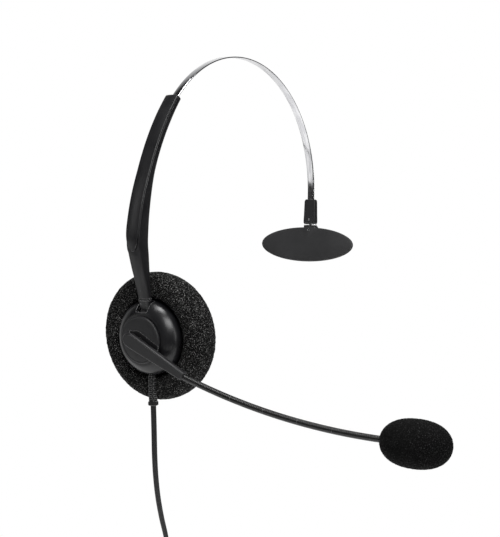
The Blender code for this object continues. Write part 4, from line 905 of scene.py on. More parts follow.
@dataclass(frozen=True)
class Knuckle:
    """The swivelling neck between the arm and the ear cup."""

    width: float = 6.1 * MM
    thickness: float = 3.2 * MM
    length: float = 7.1 * MM
    barrel: float = 1.9 * MM

    def build(self) -> None:
        """Builds the blade with its collar and ribs, the pin barrel and the stem."""
        levels = ((-GAP, 0.25), (-0.45 * MM, 0.0), (-1.15 * MM, 0.0), (-1.3 * MM, 0.22), (-self.length, 0.22))
        rings = []
        for height, inset in levels:
            inset *= MM
            ring = rounded(self.width / 2 - inset, -self.thickness / 2 + inset, self.thickness / 2 - inset,
                           0.5 * MM, 0.5 * MM)
            rings.append([Vector((x, y, height)) for x, y in ring])
        blade = lofted("neck_knuckle", rings)
        for side in (-1, 1):
            for face in (-1, 1):
                groove = block("neck_groove", (0.6 * MM, 0.5 * MM, 3.4 * MM),
                               (side * 1.5 * MM, face * self.thickness / 2, -3.6 * MM), 0.1 * MM)
                carve(blade, groove)
        along_x = Matrix.Translation((0.0, 0.0, -self.length)) @ Matrix.Rotation(math.pi / 2, 4, "Y")
        half = self.width / 2 - 0.1 * MM
        barrel = [(0.0, half), (self.barrel - 0.3 * MM, half), (self.barrel, half - 0.3 * MM),
                  (self.barrel, 0.3 * MM - half), (self.barrel - 0.3 * MM, -half), (0.0, -half)]
        carve(blade, moved(turned("neck_barrel", barrel, 40), along_x), "UNION")
        stem = [(0.0, 5.9), (0.8, 5.9), (1.0, 5.7), (1.0, 5.3), (0.6, 5.3), (0.6, 4.5), (1.0, 4.5), (1.0, -1.5),
                (0.0, -1.5)]
        carve(blade, turned("neck_stem", in_mm(stem), 32), "UNION")
        carve(blade, moved(rod("neck_bore", PIN_BORE, -self.width, self.width), along_x))
        finish_piece(blade, Look.SATIN_BLACK, neck_frame(), "neck", ["cup_neck"])


# ---------------------------------------------------------------- ear cup


@dataclass(frozen=True)
class EarCup:
    """The domed rear shell and the foam cushion round it."""

    radius: float = 17.6 * MM
    wall: float = 1.4 * MM
    shoulder: float = 6.0 * MM
    top: float = 13.0 * MM
    dome_height: float = 9.84 * MM
    low: float = -1.2 * MM
    shaft_hole: float = 3.2 * MM
    pin_up: float = 12.0 * MM
    pin_out: float = 8.4 * MM
    cushion_radius: float = 30.0 * MM
    cushion_back: float = 7.4 * MM
    cushion_front: float = 11.0 * MM
    ear_hole: float = 12.0 * MM
    cell: float = 0.85 * MM

    def dome(self, radius: float, height: float, top: float, count: int) -> list[Point]:
        """Points down a dome's side."""
        start = math.degrees(math.asin((top - self.shoulder) / height))
        return arc(radius, height, start, 0.0, count, (0.0, self.shoulder))

    def shell(self) -> None:
        """Builds the dome with the neck's notch, pin lugs, screw bosses and the cord's hole."""
        inner = self.radius - self.wall
        outside = self.dome(self.radius, self.dome_height, self.top, 28)
        edge = outside[0][0]
        profile = (
            [(self.shaft_hole, self.top), (edge - 0.5 * MM, self.top), (edge - 0.12 * MM, self.top - 0.05 * MM)]
            + outside[1:]
            + [(self.radius, self.low), (inner, self.low)]
            + self.dome(inner, self.dome_height - self.wall, self.top - self.wall, 12)[::-1]
            + [(self.shaft_hole, self.top - self.wall)]
        )
        shell = turned("cup_dome", profile, 144, ring=True)
        for side in (-1, 1):
            size = (1.6 * MM, 3.2 * MM, 4.8 * MM)
            carve(shell, block("pin_lug", size, (side * 4.15 * MM, self.pin_up, 9.0 * MM), 0.2 * MM), "UNION")
        for turn in (150, 270, 390):
            place = Matrix.Rotation(math.radians(turn), 4, "Z") @ Matrix.Translation((15 * MM, 0, 0))
            carve(shell, moved(rod("screw_boss", 1.5 * MM, self.low, 3.0 * MM, 24), place), "UNION")
            carve(shell, moved(rod("screw_hole", 0.8 * MM, -4 * MM, 5.5 * MM, 20), place))
        notch = block("neck_notch", (6.7 * MM, 12 * MM, 14 * MM), (0.0, self.pin_up + 6.6 * MM, 13.2 * MM), 0.5 * MM)
        carve(shell, notch)
        along_x = Matrix.Translation((0.0, self.pin_up, self.pin_out)) @ Matrix.Rotation(math.pi / 2, 4, "Y")
        carve(shell, moved(rod("pin_hole", PIN_BORE, -5.15 * MM, 5.15 * MM), along_x))
        carve(shell, moved(rod("cord_hole", 2.1 * MM, 12 * MM, 22 * MM), relief_frame()))
        finish_piece(shell, Look.GLOSS_BLACK, cup_frame(), "ear_cup", ["cup_rear_shell"], 30.0)

    def cushion(self) -> None:
        """Builds the foam ring, dented under the strain relief, with its open cells."""
        back_hole = self.radius + 0.7 * MM
        back_middle = back_hole + 3.7 * MM
        front_middle = self.ear_hole + 8.0 * MM
        groove, seat_low, seat_high = 21.8 * MM, -3.3 * MM, -1.2 * MM
        profile = (
            arc(3.7 * MM, 3.0 * MM, 180, 90, 14, (back_middle, self.cushion_back - 3.0 * MM))
            + arc(self.cushion_radius - back_middle, self.cushion_back, 90, 0, 36, (back_middle, 0.0), 2.5)[1:]
            + arc(self.cushion_radius - front_middle, self.cushion_front, 0, -90, 44, (front_middle, 0.0))[1:]
            + [(self.ear_hole + (2.5 + 5.5 * (7 - i) / 7) * MM, -self.cushion_front) for i in range(1, 7)]
            + arc(2.5 * MM, 2.5 * MM, -90, -180, 10, (self.ear_hole + 2.5 * MM, 2.5 * MM - self.cushion_front))
            + [(self.ear_hole, -6.6 * MM), (self.ear_hole, -4.9 * MM), (self.ear_hole, seat_low), (groove, seat_low),
               (groove, seat_high), (back_hole, seat_high), (back_hole, 1.2 * MM), (back_hole, 3.0 * MM)]
        )
        foam = turned("ear_foam", profile, 540, ring=True)
        axis = relief_frame()
        lean = axis.to_3x3() @ Vector((0.0, 0.0, 1.0))
        reach = 2.7 * MM
        for vertex in foam.data.vertices:
            if vertex.co.y < -self.radius and abs(vertex.co.x) < 3 * reach and vertex.co.z > 0:
                height = RELIEF_UP - lean.z / lean.y * -vertex.co.y
                floor = height - reach + reach * 1.15 * (vertex.co.x / reach) ** 2
                vertex.co.z = min(vertex.co.z, floor)
        roughen(foam, self.cell, 0.42 * MM)
        finish_piece(foam, Look.CUSHION_FOAM, cup_frame(), "ear_cup", ["ear_cushion"], 80.0)

    def build(self) -> None:
        """Builds the shell and its cushion."""
        self.shell()
        self.cushion()


def roughen(obj: bpy.types.Object, cell: float, depth: float) -> None:
    """Pushes a foam's surface in and out in open cells.

    Args:
        obj: The foam, with points closer together than its cells.
        cell: Width of a cell.
        depth: How deep the cells are.
    """
    pattern = bpy.data.textures.new(f"{obj.name}_cells", "VORONOI")
    pattern.noise_scale = cell
    pattern.distance_metric = "DISTANCE"
    select_only(obj)
    modifier = obj.modifiers.new("cells", "DISPLACE")
    modifier.texture = pattern
    modifier.texture_coords = "LOCAL"
    modifier.strength = depth
    modifier.mid_level = 0.55
    bpy.ops.object.modifier_apply(modifier=modifier.name)


# ---------------------------------------------------------------- boom and microphone


@dataclass(frozen=True)
class Boom:
    """The pivot disc, the lever, the ribbed gooseneck and the foam windscreen."""

    disc_top: float = 14.6 * MM
    lever_low: float = 14.9 * MM
    lever_high: float = 17.5 * MM
    lever_tip: float = 30.4 * MM
    offset: float = -1.9 * MM
    neck_radius: float = 1.5 * MM
    neck_core: float = 1.3 * MM
    neck_curve: float = 350.0 * MM
    neck_heading: float = math.radians(7.1)
    neck_length: float = 109.0 * MM
    parts: int = 6
    ribs_per_part: int = 20
    screen_length: float = 32.2 * MM
    screen_radius: float = 10.4 * MM
    screen_overlap: float = 2.7 * MM

    def disc(self) -> None:
        """Builds the disc with its rounded rim, its shaft and the hollow beside the lever."""
        profile = (
            [(1.1, 14.6)]
            + [(9.9, 14.6), (10.1, 14.52), (10.2, 14.52), (10.35, 14.6)]
            + arc(0.55, 0.55, 90, 0, 6, (10.55, 14.05))
            + arc(0.2, 0.2, 0, -90, 2, (10.9, 13.5))
            + [(2.9, 13.3), (2.9, 11.15), (2.2, 11.15), (2.2, 10.35), (2.9, 10.35), (2.9, 9.6),
               (2.8, 9.5), (1.1, 9.5)]
        )
        disc = turned("pivot_disc", in_mm(profile), 128, ring=True)
        hollow = [(-6.9, 0.2), (-2.0, -4.5), (14.0, -4.6), (14.0, 2.55), (6.0, 3.1), (0.6, 3.5), (-1.4, 3.62),
                  (-2.9, 3.45), (-4.0, 2.9), (-5.0, 2.1), (-6.0, 1.75), (-6.9, 1.5)]
        ring = in_mm(hollow)
        carve(disc, plate("disc_hollow", ring, ((self.disc_top - 0.32 * MM, 0.12 * MM), (self.disc_top + MM, 0.0))))
        finish_piece(disc, Look.MATTE_BLACK, boom_frame(), "boom_base", ["boom_pivot_disc"], 30.0)

    def lever(self) -> None:
        """Builds the lever with its bevelled upper edges and the notch at its rear corner."""
        tip, middle = self.lever_tip / MM, self.offset / MM
        outline = [
            (tip - 0.8, middle - 2.0), (tip - 0.25, middle - 1.75), (tip, middle - 1.2), (tip, middle + 1.2),
            (tip - 0.25, middle + 1.75), (tip - 0.8, middle + 2.0),
            (11.0, 0.88), (-3.9, 1.5), (-4.5, 1.42), (-5.0, 1.12), (-5.5, 0.72), (-6.2, 0.45), (-6.8, 0.2),
            (-7.3, -0.3), (-7.65, -1.05), (-7.8, -1.9), (-7.7, -2.75), (-7.35, -3.5), (-6.75, -4.2), (-5.9, -4.75),
            (-4.9, -5.1), (-3.8, -5.28), (-2.6, -5.3), (11.0, -4.72),
        ]
        ring = in_mm(outline)
        low, high = self.lever_low, self.lever_high
        levels = ((low, 0.25 * MM), (low + 0.08 * MM, 0.08 * MM), (low + 0.25 * MM, 0.0), (high - 0.62 * MM, 0.0),
                  (high - 0.5 * MM, 0.05 * MM), (high - 0.1 * MM, 0.42 * MM), (high, 0.58 * MM))
        lever = plate("boom_arm_lever", ring, levels)
        finish_piece(lever, Look.MATTE_BLACK, boom_frame(), "boom_base", ["boom_lever"], 25.0)

    def neck_place(self, distance: float) -> tuple[Vector, Vector]:
        """The gooseneck's middle and its side direction at a distance, in the boom's frame."""
        start = Vector((self.lever_tip + GAP, self.offset, (self.lever_low + self.lever_high) / 2))
        first = Vector((-math.sin(self.neck_heading), math.cos(self.neck_heading), 0.0))
        heading = self.neck_heading + distance / self.neck_curve
        side = Vector((-math.sin(heading), math.cos(heading), 0.0))
        return start + (first - side) * self.neck_curve, side

    def gooseneck(self) -> None:
        """Builds the ribbed gooseneck as five lengths, each spanning one hinge."""
        pitch = self.neck_length / self.parts
        rib = pitch / self.ribs_per_part
        place = boom_frame()
        for i in range(1, self.parts):
            low = 0.0 if i == 1 else (i - 0.5) * pitch
            high = self.neck_length if i == self.parts - 1 else (i + 0.5) * pitch
            count = round((high - low) / rib)
            stations = [(low + (k + part) * rib, radius) for k in range(count) for part, radius in
                        ((0.0, self.neck_core), (0.16, self.neck_radius), (0.58, self.neck_radius),
                         (0.74, self.neck_core))]
            stations.append((high, self.neck_core))
            rings = []
            for distance, radius in stations:
                middle, side = self.neck_place(distance)
                rings.append([middle + (side * math.cos(a) + Vector((0, 0, math.sin(a)))) * radius for a in
                              (math.tau * k / 18 for k in range(18))])
            nodes = [f"gooseneck_{i}"] + ([f"gooseneck_{i + 1}"] if i == self.parts - 1 else [])
            piece = lofted(f"gooseneck_sleeve_{i}", rings)
            finish_piece(piece, Look.GOOSENECK_BLACK, place, "", nodes, 60.0)
            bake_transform(piece)

    def windscreen(self) -> None:
        """Builds the foam windscreen with the room for the capsule inside."""
        middle, side = self.neck_place(self.neck_length)
        x = side.cross(Vector((0, 0, 1)))
        place = boom_frame() @ seat(middle, x, side) @ Matrix.Rotation(math.pi / 2, 4, "Y")
        neck, room, high = 1.8 * MM, 4.5 * MM, 16.7 * MM
        centre = self.screen_length / 2 - self.screen_overlap
        start = -math.degrees(math.acos((neck / self.screen_radius) ** 1.15))
        outer = arc(self.screen_radius, self.screen_length / 2, 90, start, 96, (0.0, centre), 2.3)
        profile = (
            [(0.0, outer[0][1])] + outer[1:-1]
            + [(neck, outer[-1][1]), (neck, 0.0), (2.4 * MM, 0.0), (room, 3.0 * MM), (room, high), (0.0, high)]
        )
        foam = turned("mic_foam", profile, 200)
        roughen(foam, 0.62 * MM, 0.26 * MM)
        finish_piece(foam, Look.WINDSCREEN_FOAM, place, "flex_5", ["mic_windscreen"], 80.0)

    def build(self) -> None:
        """Builds the whole boom."""
        self.disc()
        self.lever()
        self.gooseneck()
        self.windscreen()


# ---------------------------------------------------------------- cord


@dataclass(frozen=True)
class Cord:
    """The twin cord with its strain relief, the tied hank of its length, and the quick-disconnect plug."""

    width: float = 2.6 * MM
    relief_start: float = 18.1 * MM
    relief_end: float = 31.9 * MM
    relief_radius: float = 2.1 * MM
    route: tuple[Point, ...] = (
        (0.0, 0.0), (0.25, -6.0), (0.5, -14.0), (0.8, -24.0), (1.6, -34.0), (3.2, -44.0), (5.8, -54.0), (8.8, -63.0),
        (11.0, -72.0),
    )
    run: float = 39.0 * MM
    folds: Point = (7.9 * MM, 10.5 * MM)
    drift: float = 13.0 * MM
    lead: float = 9.0 * MM
    step: float = 1.25 * MM
    untwist: float = 85 * MM

    def exit(self) -> Vector:
        """Where the cord leaves its strain relief, in the row frame."""
        return cup_frame() @ relief_frame() @ Vector((0.0, 0.0, self.relief_end + GAP))

    def hank_centre(self) -> Vector:
        """The hank's middle, in the row frame."""
        low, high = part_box("cord_hank")
        return (low + high) / 2

    def hank_line(self) -> list[Vector]:
        """The cord's line through the hank, as (down, across, inward) from the hank's middle.

        It enters at the middle of the outermost layer, winds twice round each of the two middle layers and leaves
        at the middle of the innermost. On every way up it drifts to the next place, the later turns first.
        """
        half = self.run / 2
        small, large = self.folds
        layers = [(k - 1.5) * self.width for k in range(4)]
        stops = [(small, layers[0]), (small, layers[1]), (large, layers[1]), (large, layers[2]), (small, layers[2]),
                 (small, layers[3])]
        line = self.slant(-half, half, (0.0, layers[0]), (small, layers[0]), 0.0, self.run)
        for i, (here, there) in enumerate(zip(stops, stops[1:])):
            count = round(math.pi * here[0] / self.step)
            line += [Vector((half + here[0] * math.sin(a), here[0] * math.cos(a), here[1])) for a in
                     (math.pi * k / count for k in range(1, count))]
            begin = (self.run - self.drift) * (4 - i) / 4
            line += self.slant(half, -half, (-here[0], here[1]), (-there[0], there[1]), begin, self.drift)
            count = round(math.pi * there[0] / self.step)
            line += [Vector((-half - there[0] * math.sin(a), -there[0] * math.cos(a), there[1])) for a in
                     (math.pi * k / count for k in range(1, count))]
            if i < 4:
                line += self.slant(-half, half, there, there, 0.0, self.run)
        line += self.slant(-half, half, (small, layers[3]), (0.0, layers[3]), 0.0, self.run)
        end = half + large + self.width / 2 + GAP + self.lead
        count = round((end - half) / self.step)
        return line + [Vector((half + (end - half) * k / count, 0.0, layers[3])) for k in range(1, count + 1)]

    def slant(self, start: float, end: float, before: Point, after: Point, begin: float,
              length: float) -> list[Vector]:
        """A straight run along the hank that eases sideways.

        Args:
            start: Where it starts, along the hank.
            end: Where it ends.
            before: Its (across, inward) place at the start.
            after: Its place at the end.
            begin: How far along the run the shift begins.
            length: How long the shift takes.

        Returns:
            The run's points.
        """
        count = round(abs(end - start) / self.step)
        found = []
        for k in range(count + 1):
            t = min(1.0, max(0.0, (k / count * abs(end - start) - begin) / length))
            ease = (1 - math.cos(math.pi * t)) / 2
            found.append(Vector((start + (end - start) * k / count, before[0] + (after[0] - before[0]) * ease,
                                 before[1] + (after[1] - before[1]) * ease)))
        return found

    def path(self) -> list[Vector]:
        """The cord's whole centreline, in the row frame."""
        first = self.exit()
        centre = self.hank_centre()
        knots = [first + Vector((x * MM, 0.0, z * MM)) for x, z in self.route]
        hank = [centre + Vector((inward, across, -down)) for down, across, inward in self.hank_line()]
        knots = [knots[0] * 2 - knots[1], *knots, (knots[-1] + hank[0] * 2) / 3 + Vector((0.6 * MM, 0, 0)), hank[0],
                 hank[4]]
        found = [first]
        for before, start, end, after in zip(knots, knots[1:], knots[2:], knots[3:]):
            steps = max(1, round((end - start).length / self.step))
            for k in range(1, steps + 1):
                t = k / steps
                bend = (2 * before - 5 * start + 4 * end - after) * t**2
                bend += (3 * start - before - 3 * end + after) * t**3
                found.append(0.5 * (2 * start + (end - before) * t + bend))
        return found + hank[1:]

    def strain_relief(self) -> bpy.types.Object:
        """Builds the moulded strain relief with two staggered columns of slots."""
        radius, end = self.relief_radius, self.relief_end
        rings = []
        for height, half in ((13.9, 2.4), (14.9, 2.4), (15.0, 1.8), (18.0, 1.8), (18.1, 2.05), (30.1, 2.0),
                             (30.3, 2.3), (30.5, 2.42), (31.6, 2.42), (31.9, 2.15)):
            depth = min(half, 1.95)
            rings.append([Vector((x * MM, y * MM, height * MM)) for x, y in
                          arc(half, depth, 0, 360 - 15, 23, power=2.0 if height < 18.05 else 3.2)])
        relief = lofted("relief_sleeve", rings)
        pitch = (end - self.relief_start - 2.0 * MM) / 6
        for i in range(6):
            for side in (-1, 1):
                height = self.relief_start + (i + 0.45 + 0.25 * side) * pitch + 0.2 * MM
                for face in (-1, 1):
                    slot = block("slot", (1.7 * MM, 1.8 * MM, 0.95 * MM), (side * 1.25 * MM, face * radius, height),
                                 0.12 * MM)
                    carve(relief, slot)
        place = cup_frame() @ relief_frame() @ Matrix.Rotation(math.radians(RELIEF_ROLL), 4, "Z")
        return finish_piece(relief, Look.BLACK_RUBBER, place, "ear_cup", ["cord_strain_relief"])

    def tie(self) -> bpy.types.Object:
        """Builds the moulded tie round the hank, with its raised latch."""
        low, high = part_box("cord_tie")
        centre, size = (low + high) / 2, high - low
        half_y, half_x, tall, wall = size.y / 2, size.x / 2, size.z / 2, 0.7 * MM
        loops = []
        for grow in (0.0, -wall):
            ring = rounded(half_x + grow, -half_y - grow, half_y + grow, 4.6 * MM + grow, 4.6 * MM + grow, 8)
            edge = 0.2 * MM if grow == 0 else 0.0
            reach = tall if grow == 0 else 2 * tall
            loops.append(plate("tie_loop", ring, ((-reach, edge), (edge - reach, 0.0), (reach - edge, 0.0),
                                                  (reach, edge))))
        tie, window = loops
        carve(tie, window)
        latch = block("tie_latch", (1.6 * MM, 6.0 * MM, 3.6 * MM), (-half_x, 0.0, 0.0), 0.3 * MM)
        carve(tie, latch, "UNION")
        for k in (-1, 0, 1):
            carve(tie, block("latch_groove", (0.6 * MM, 4.6 * MM, 0.5 * MM), (-half_x - 0.8 * MM, 0.0, k * MM)))
        return finish_piece(tie, Look.BLACK_RUBBER, Matrix.Translation(centre), "ear_cup", ["cord_tie"])

    def plug(self) -> list[bpy.types.Object]:
        """Builds the plug: its strain relief, its two shells with their grips, and the contact tongue."""
        low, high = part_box("plug_strain_relief")
        middle = (low + high) / 2
        place = seat(Vector((middle.x, middle.y, high.z)), Vector((0, 0, -1)), Vector((0, 1, 0)))
        ribs = [(0.0, 0.0), (1.7, 0.0)]
        for i in range(5):
            along, radius = 0.5 + 1.5 * i, 1.9 + 0.18 * i
            ribs += [(radius, along), (radius, along + 0.8), (radius - 0.45, along + 0.9),
                     (radius - 0.45, along + 1.4)]
        ribs += [(2.85, 8.1), (2.85, 9.0), (0.0, 9.0)]
        sleeve = turned("plug_sleeve", in_mm(ribs)[::-1], 40)
        along_x = Matrix.Rotation(math.pi / 2, 4, "Y")
        sleeve = finish_piece(sleeve, Look.BLACK_RUBBER, place @ along_x, "ear_cup", ["plug_strain_relief"])
        pieces = [sleeve]
        for node, side in (("plug_shell_outer", 1), ("plug_shell_inner", -1)):
            box_low, box_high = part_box(node)
            pieces.append(self.plug_half(node, side, place.inverted() @ ((box_low + box_high) / 2),
                                         box_high - box_low, place))
        low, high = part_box("plug_tongue")
        size, centre = high - low, place.inverted() @ ((low + high) / 2)
        tongue = block("plug_contacts", (size.z, size.y, size.x), tuple(centre), 0.3 * MM)
        for k in (-1.5, -0.5, 0.5, 1.5):
            for face in (-1, 1):
                slot = block("contact_slot", (5.0 * MM, 0.7 * MM, 0.8 * MM),
                             (centre.x + size.z / 2 - 2.2 * MM, k * 1.35 * MM, centre.z + face * size.x / 2))
                carve(tongue, slot)
        pieces.append(finish_piece(tongue, Look.CONTACT_BLACK, place, "ear_cup", ["plug_tongue"]))
        return pieces

    def plug_half(self, node: str, side: int, centre: Vector, size: Vector, place: Matrix) -> bpy.types.Object:
        """One moulded half of the plug's housing.

        Args:
            node: The frame's node that it stands for.
            side: 1 for the half away from the head, -1 for the other.
            centre: Its box's middle, in the plug's frame.
            size: Its box's sides, in the row frame.
            place: The plug's frame.

        Returns:
            The half.
        """
        length, half, depth = size.z, size.y / 2, size.x
        inner, outer = centre.z - side * depth / 2, centre.z + side * depth / 2
        rings = []
        for share, narrow in ((0.0, 1.6), (0.015, 1.1), (0.06, 0.75), (0.3, 0.2), (0.45, 0.0), (0.97, 0.0),
                              (0.985, 0.1), (1.0, 0.35)):
            narrow *= MM
            low, high = sorted((inner, outer - side * narrow * 0.6))
            corners = (0.15 * MM, 1.0 * MM) if side > 0 else (1.0 * MM, 0.15 * MM)
            ring = rounded(half - narrow, low, high, *corners)
            rings.append([Vector((centre.x + length * (share - 0.5), y, z)) for y, z in ring])
        shell = lofted(f"{node.replace('shell_', '')}_half", rings)
        hollow = (length - 1.3 * MM, 2 * half - 2.6 * MM, 2 * (depth - 1.3 * MM))
        carve(shell, block("hollow", hollow, (centre.x + 1.15 * MM, 0.0, inner)))
        for k in range(6):
            along = centre.x - length * 0.02 + k * 1.5 * MM
            for edge in (-1, 1):
                carve(shell, block("grip", (0.6 * MM, 0.7 * MM, 2 * depth), (along, edge * half, centre.z)))
        pad = block("thumb_pad", (9.0 * MM, 5.4 * MM, 0.7 * MM), (centre.x + 1.7 * MM, 0.0, outer), 0.25 * MM)
        carve(shell, pad)
        return finish_piece(shell, Look.SATIN_BLACK, place, "ear_cup", [node])

    def across(self, i: int) -> Vector:
        """The direction in which the two strands lie side by side, at a point's number on the path."""
        turn = min(1.0, i * self.step / self.untwist)
        return Vector((0.586, -0.81, 0.0)).lerp(Vector((1.0, 0.0, 0.0)), turn * turn * (3 - 2 * turn))

    def build(self) -> None:
        path = self.path()
        plug = self.plug()
        tie = self.tie()
        self.strain_relief()
        ring = arc(0.68 * MM, 0.68 * MM, -115, 115, 8, (0.62 * MM, 0.0))
        ring += arc(0.68 * MM, 0.68 * MM, 65, 295, 8, (-0.62 * MM, 0.0))
        cord = lofted("headset_cord", tube_rings(path, ring, self.across))
        finish_piece(cord, Look.CORD_JACKET, Matrix(), "ear_cup", ["cord", "cord_hank", "cord_plug_lead"], 60.0)


# ---------------------------------------------------------------- temple pad


def tail_frame() -> Matrix:
    """The temple pad's pivot frame: x backward, y inward, z up along the strip's tail."""
    up = leaning(TAIL_LEAN)
    return seat(JOINT_PLACES["pad_swivel"], -FORWARD, up.cross(-FORWARD))


@dataclass(frozen=True)
class TemplePad:
    """The holder on the strip's tail, its washer, and the oval pad with its back plate."""

    holder_width: float = 7.1 * MM
    holder_thickness: float = 3.2 * MM
    half_length: float = 28.4 * MM
    half_height: float = 9.2 * MM
    lean: float = 17.0
    inset: float = 3.9 * MM
    drop: float = 10.9 * MM
    tab_half: float = 3.5 * MM
    tab_top: float = 10.35 * MM

    def frame(self) -> Matrix:
        """The oval's frame: x forward, y up, z inward, in the pivot's frame."""
        angle = math.radians(self.lean)
        return seat(Vector((0.0, self.inset, -self.drop)), Vector((-1, 0, 0)),
                    Vector((0.0, -math.sin(angle), math.cos(angle))))

    def outline(self, inset: float, count: int) -> list[Point]:
        """The oval with the tab at its upper edge."""
        length, height = self.half_length - inset, self.half_height - inset
        start = math.degrees(math.acos(self.tab_half / length))
        oval = arc(length, height, 180 - start, 360 + start, count)
        return oval + [(self.tab_half, self.tab_top), (-self.tab_half, self.tab_top)]

    def holder(self) -> None:
        """Builds the holder with its chamfered shoulders, collar, slot and holes."""
        rings = []
        for height, narrow in ((-0.2, 0.25), (0.0, 0.05), (1.0, 0.0), (4.0, 0.1), (11.2, 0.25), (11.9, 0.4),
                               (12.25, 0.7), (12.4, 1.1)):
            thin = min(narrow, 0.45)
            ring = rounded(self.holder_width / 2 - narrow * MM, thin * MM - self.holder_thickness / 2,
                           self.holder_thickness / 2 - thin * MM, 0.45 * MM, 0.45 * MM, 4)
            rings.append([Vector((x, y, height * MM)) for x, y in ring])
        holder = lofted("pad_block", rings)
        carve(holder, block("strip_slot", (4.6 * MM, 1.2 * MM, 9.6 * MM), (0.0, 0.0, 8.6 * MM)))
        carve(holder, rod("swivel_bore", PIN_BORE, -MM, 3.35 * MM))
        turn = Matrix.Translation((0.0, 0.0, 1.9 * MM)) @ Matrix.Rotation(-math.pi / 2, 4, "X")
        carve(holder, moved(rod("cross_hole", 0.5 * MM, 1.2 * MM, 2.2 * MM), turn))
        finish_piece(holder, Look.MATTE_BLACK, tail_frame(), "headband", ["pad_holder"])
        ring = rounded(self.holder_width / 2 - 0.05 * MM, -1.5 * MM, 1.5 * MM, 0.9 * MM, 0.9 * MM, 5)
        washer = plate("pad_washer", ring, ((-0.72 * MM, 0.08 * MM), (-0.64 * MM, 0.0), (-0.33 * MM, 0.0),
                                            (-0.25 * MM, 0.08 * MM)))
        carve(washer, rod("washer_bore", 1.0 * MM, -2 * MM, MM))
        finish_piece(washer, Look.POLISHED_STEEL, tail_frame(), "headband", ["swivel_plate"])

    def face(self) -> None:
        """Builds the soft oval face, crowned towards its middle."""
        ring = self.outline(0.0, 96)
        levels = ((-1.7, 0.35), (-1.62, 0.12), (-1.45, 0.0), (-0.5, 0.0), (-0.24, 0.07), (-0.08, 0.28), (0.0, 0.6))
        rings = [[Vector((x, y, z * MM)) for x, y in shrunk(ring, inset * MM)] for z, inset in levels]
        edge = rings[-1]
        for scale, rise in ((0.9, 0.07), (0.75, 0.16), (0.55, 0.24), (0.3, 0.29), (0.08, 0.3)):
            rings.append([Vector((p.x * scale, p.y * scale, rise * MM)) for p in edge])
        face = lofted("pad_face", rings)
        dot = rod("dot", 0.5 * MM, -0.9 * MM, 2 * MM, 20)
        carve(face, moved(dot, Matrix.Translation((0, self.half_height - 1.6 * MM, 0))))
        carve(face, moved(rod("pin_room", PIN_BORE, -5.2 * MM, 2 * MM, 24), self.frame().inverted()))
        finish_piece(face, Look.PAD_SKIN, tail_frame() @ self.frame(), "pad", ["pad_cushion"])

    def back(self) -> None:
        """Builds the hard back plate with its rim and the neck that holds the pin."""
        ring = self.outline(1.3 * MM, 96)
        plate_low, plate_high = -3.6 * MM, -2.0 * MM
        levels = ((plate_low, 0.9 * MM), (plate_low + 0.12 * MM, 0.45 * MM), (plate_low + 0.5 * MM, 0.08 * MM),
                  (plate_low + 0.8 * MM, 0.0), (plate_high, 0.0))
        back = plate("pad_back", ring, levels)
        neck = block("pad_neck", (7.0 * MM, 2.4 * MM, 5.0 * MM), (0.0, 0.0, -3.28 * MM), 0.2 * MM)
        moved(neck, self.frame().inverted())
        carve(back, neck, "UNION")
        carve(back, block("face_room", (80 * MM, 80 * MM, 6 * MM), (0.0, 0.0, plate_high + 3 * MM)))
        carve(back, moved(rod("pin_room", PIN_BORE, -5.15 * MM, 2 * MM, 24), self.frame().inverted()))
        finish_piece(back, Look.MATTE_BLACK, tail_frame() @ self.frame(), "pad", ["pad_backplate"])

    def build(self) -> None:
        """Builds the holder, the washer and the pad."""
        self.holder()
        self.face()
        self.back()


# ---------------------------------------------------------------- studio


@dataclass(frozen=True)
class SoftBox:
    """A soft rectangular light that faces the headset."""

    name: str
    place: Triple
    target: Triple
    size: Point
    power: float

    def build(self) -> None:
        """Adds the light."""
        light = bpy.data.lights.new(self.name, "AREA")
        light.shape = "RECTANGLE"
        light.size, light.size_y = self.size
        light.energy = self.power
        lamp = bpy.data.objects.new(self.name, light)
        lamp.location = self.place
        lamp.rotation_euler = (Vector(self.target) - Vector(self.place)).to_track_quat("-Z", "Y").to_euler()
        lamp.visible_camera = False
        bpy.context.scene.collection.objects.link(lamp)


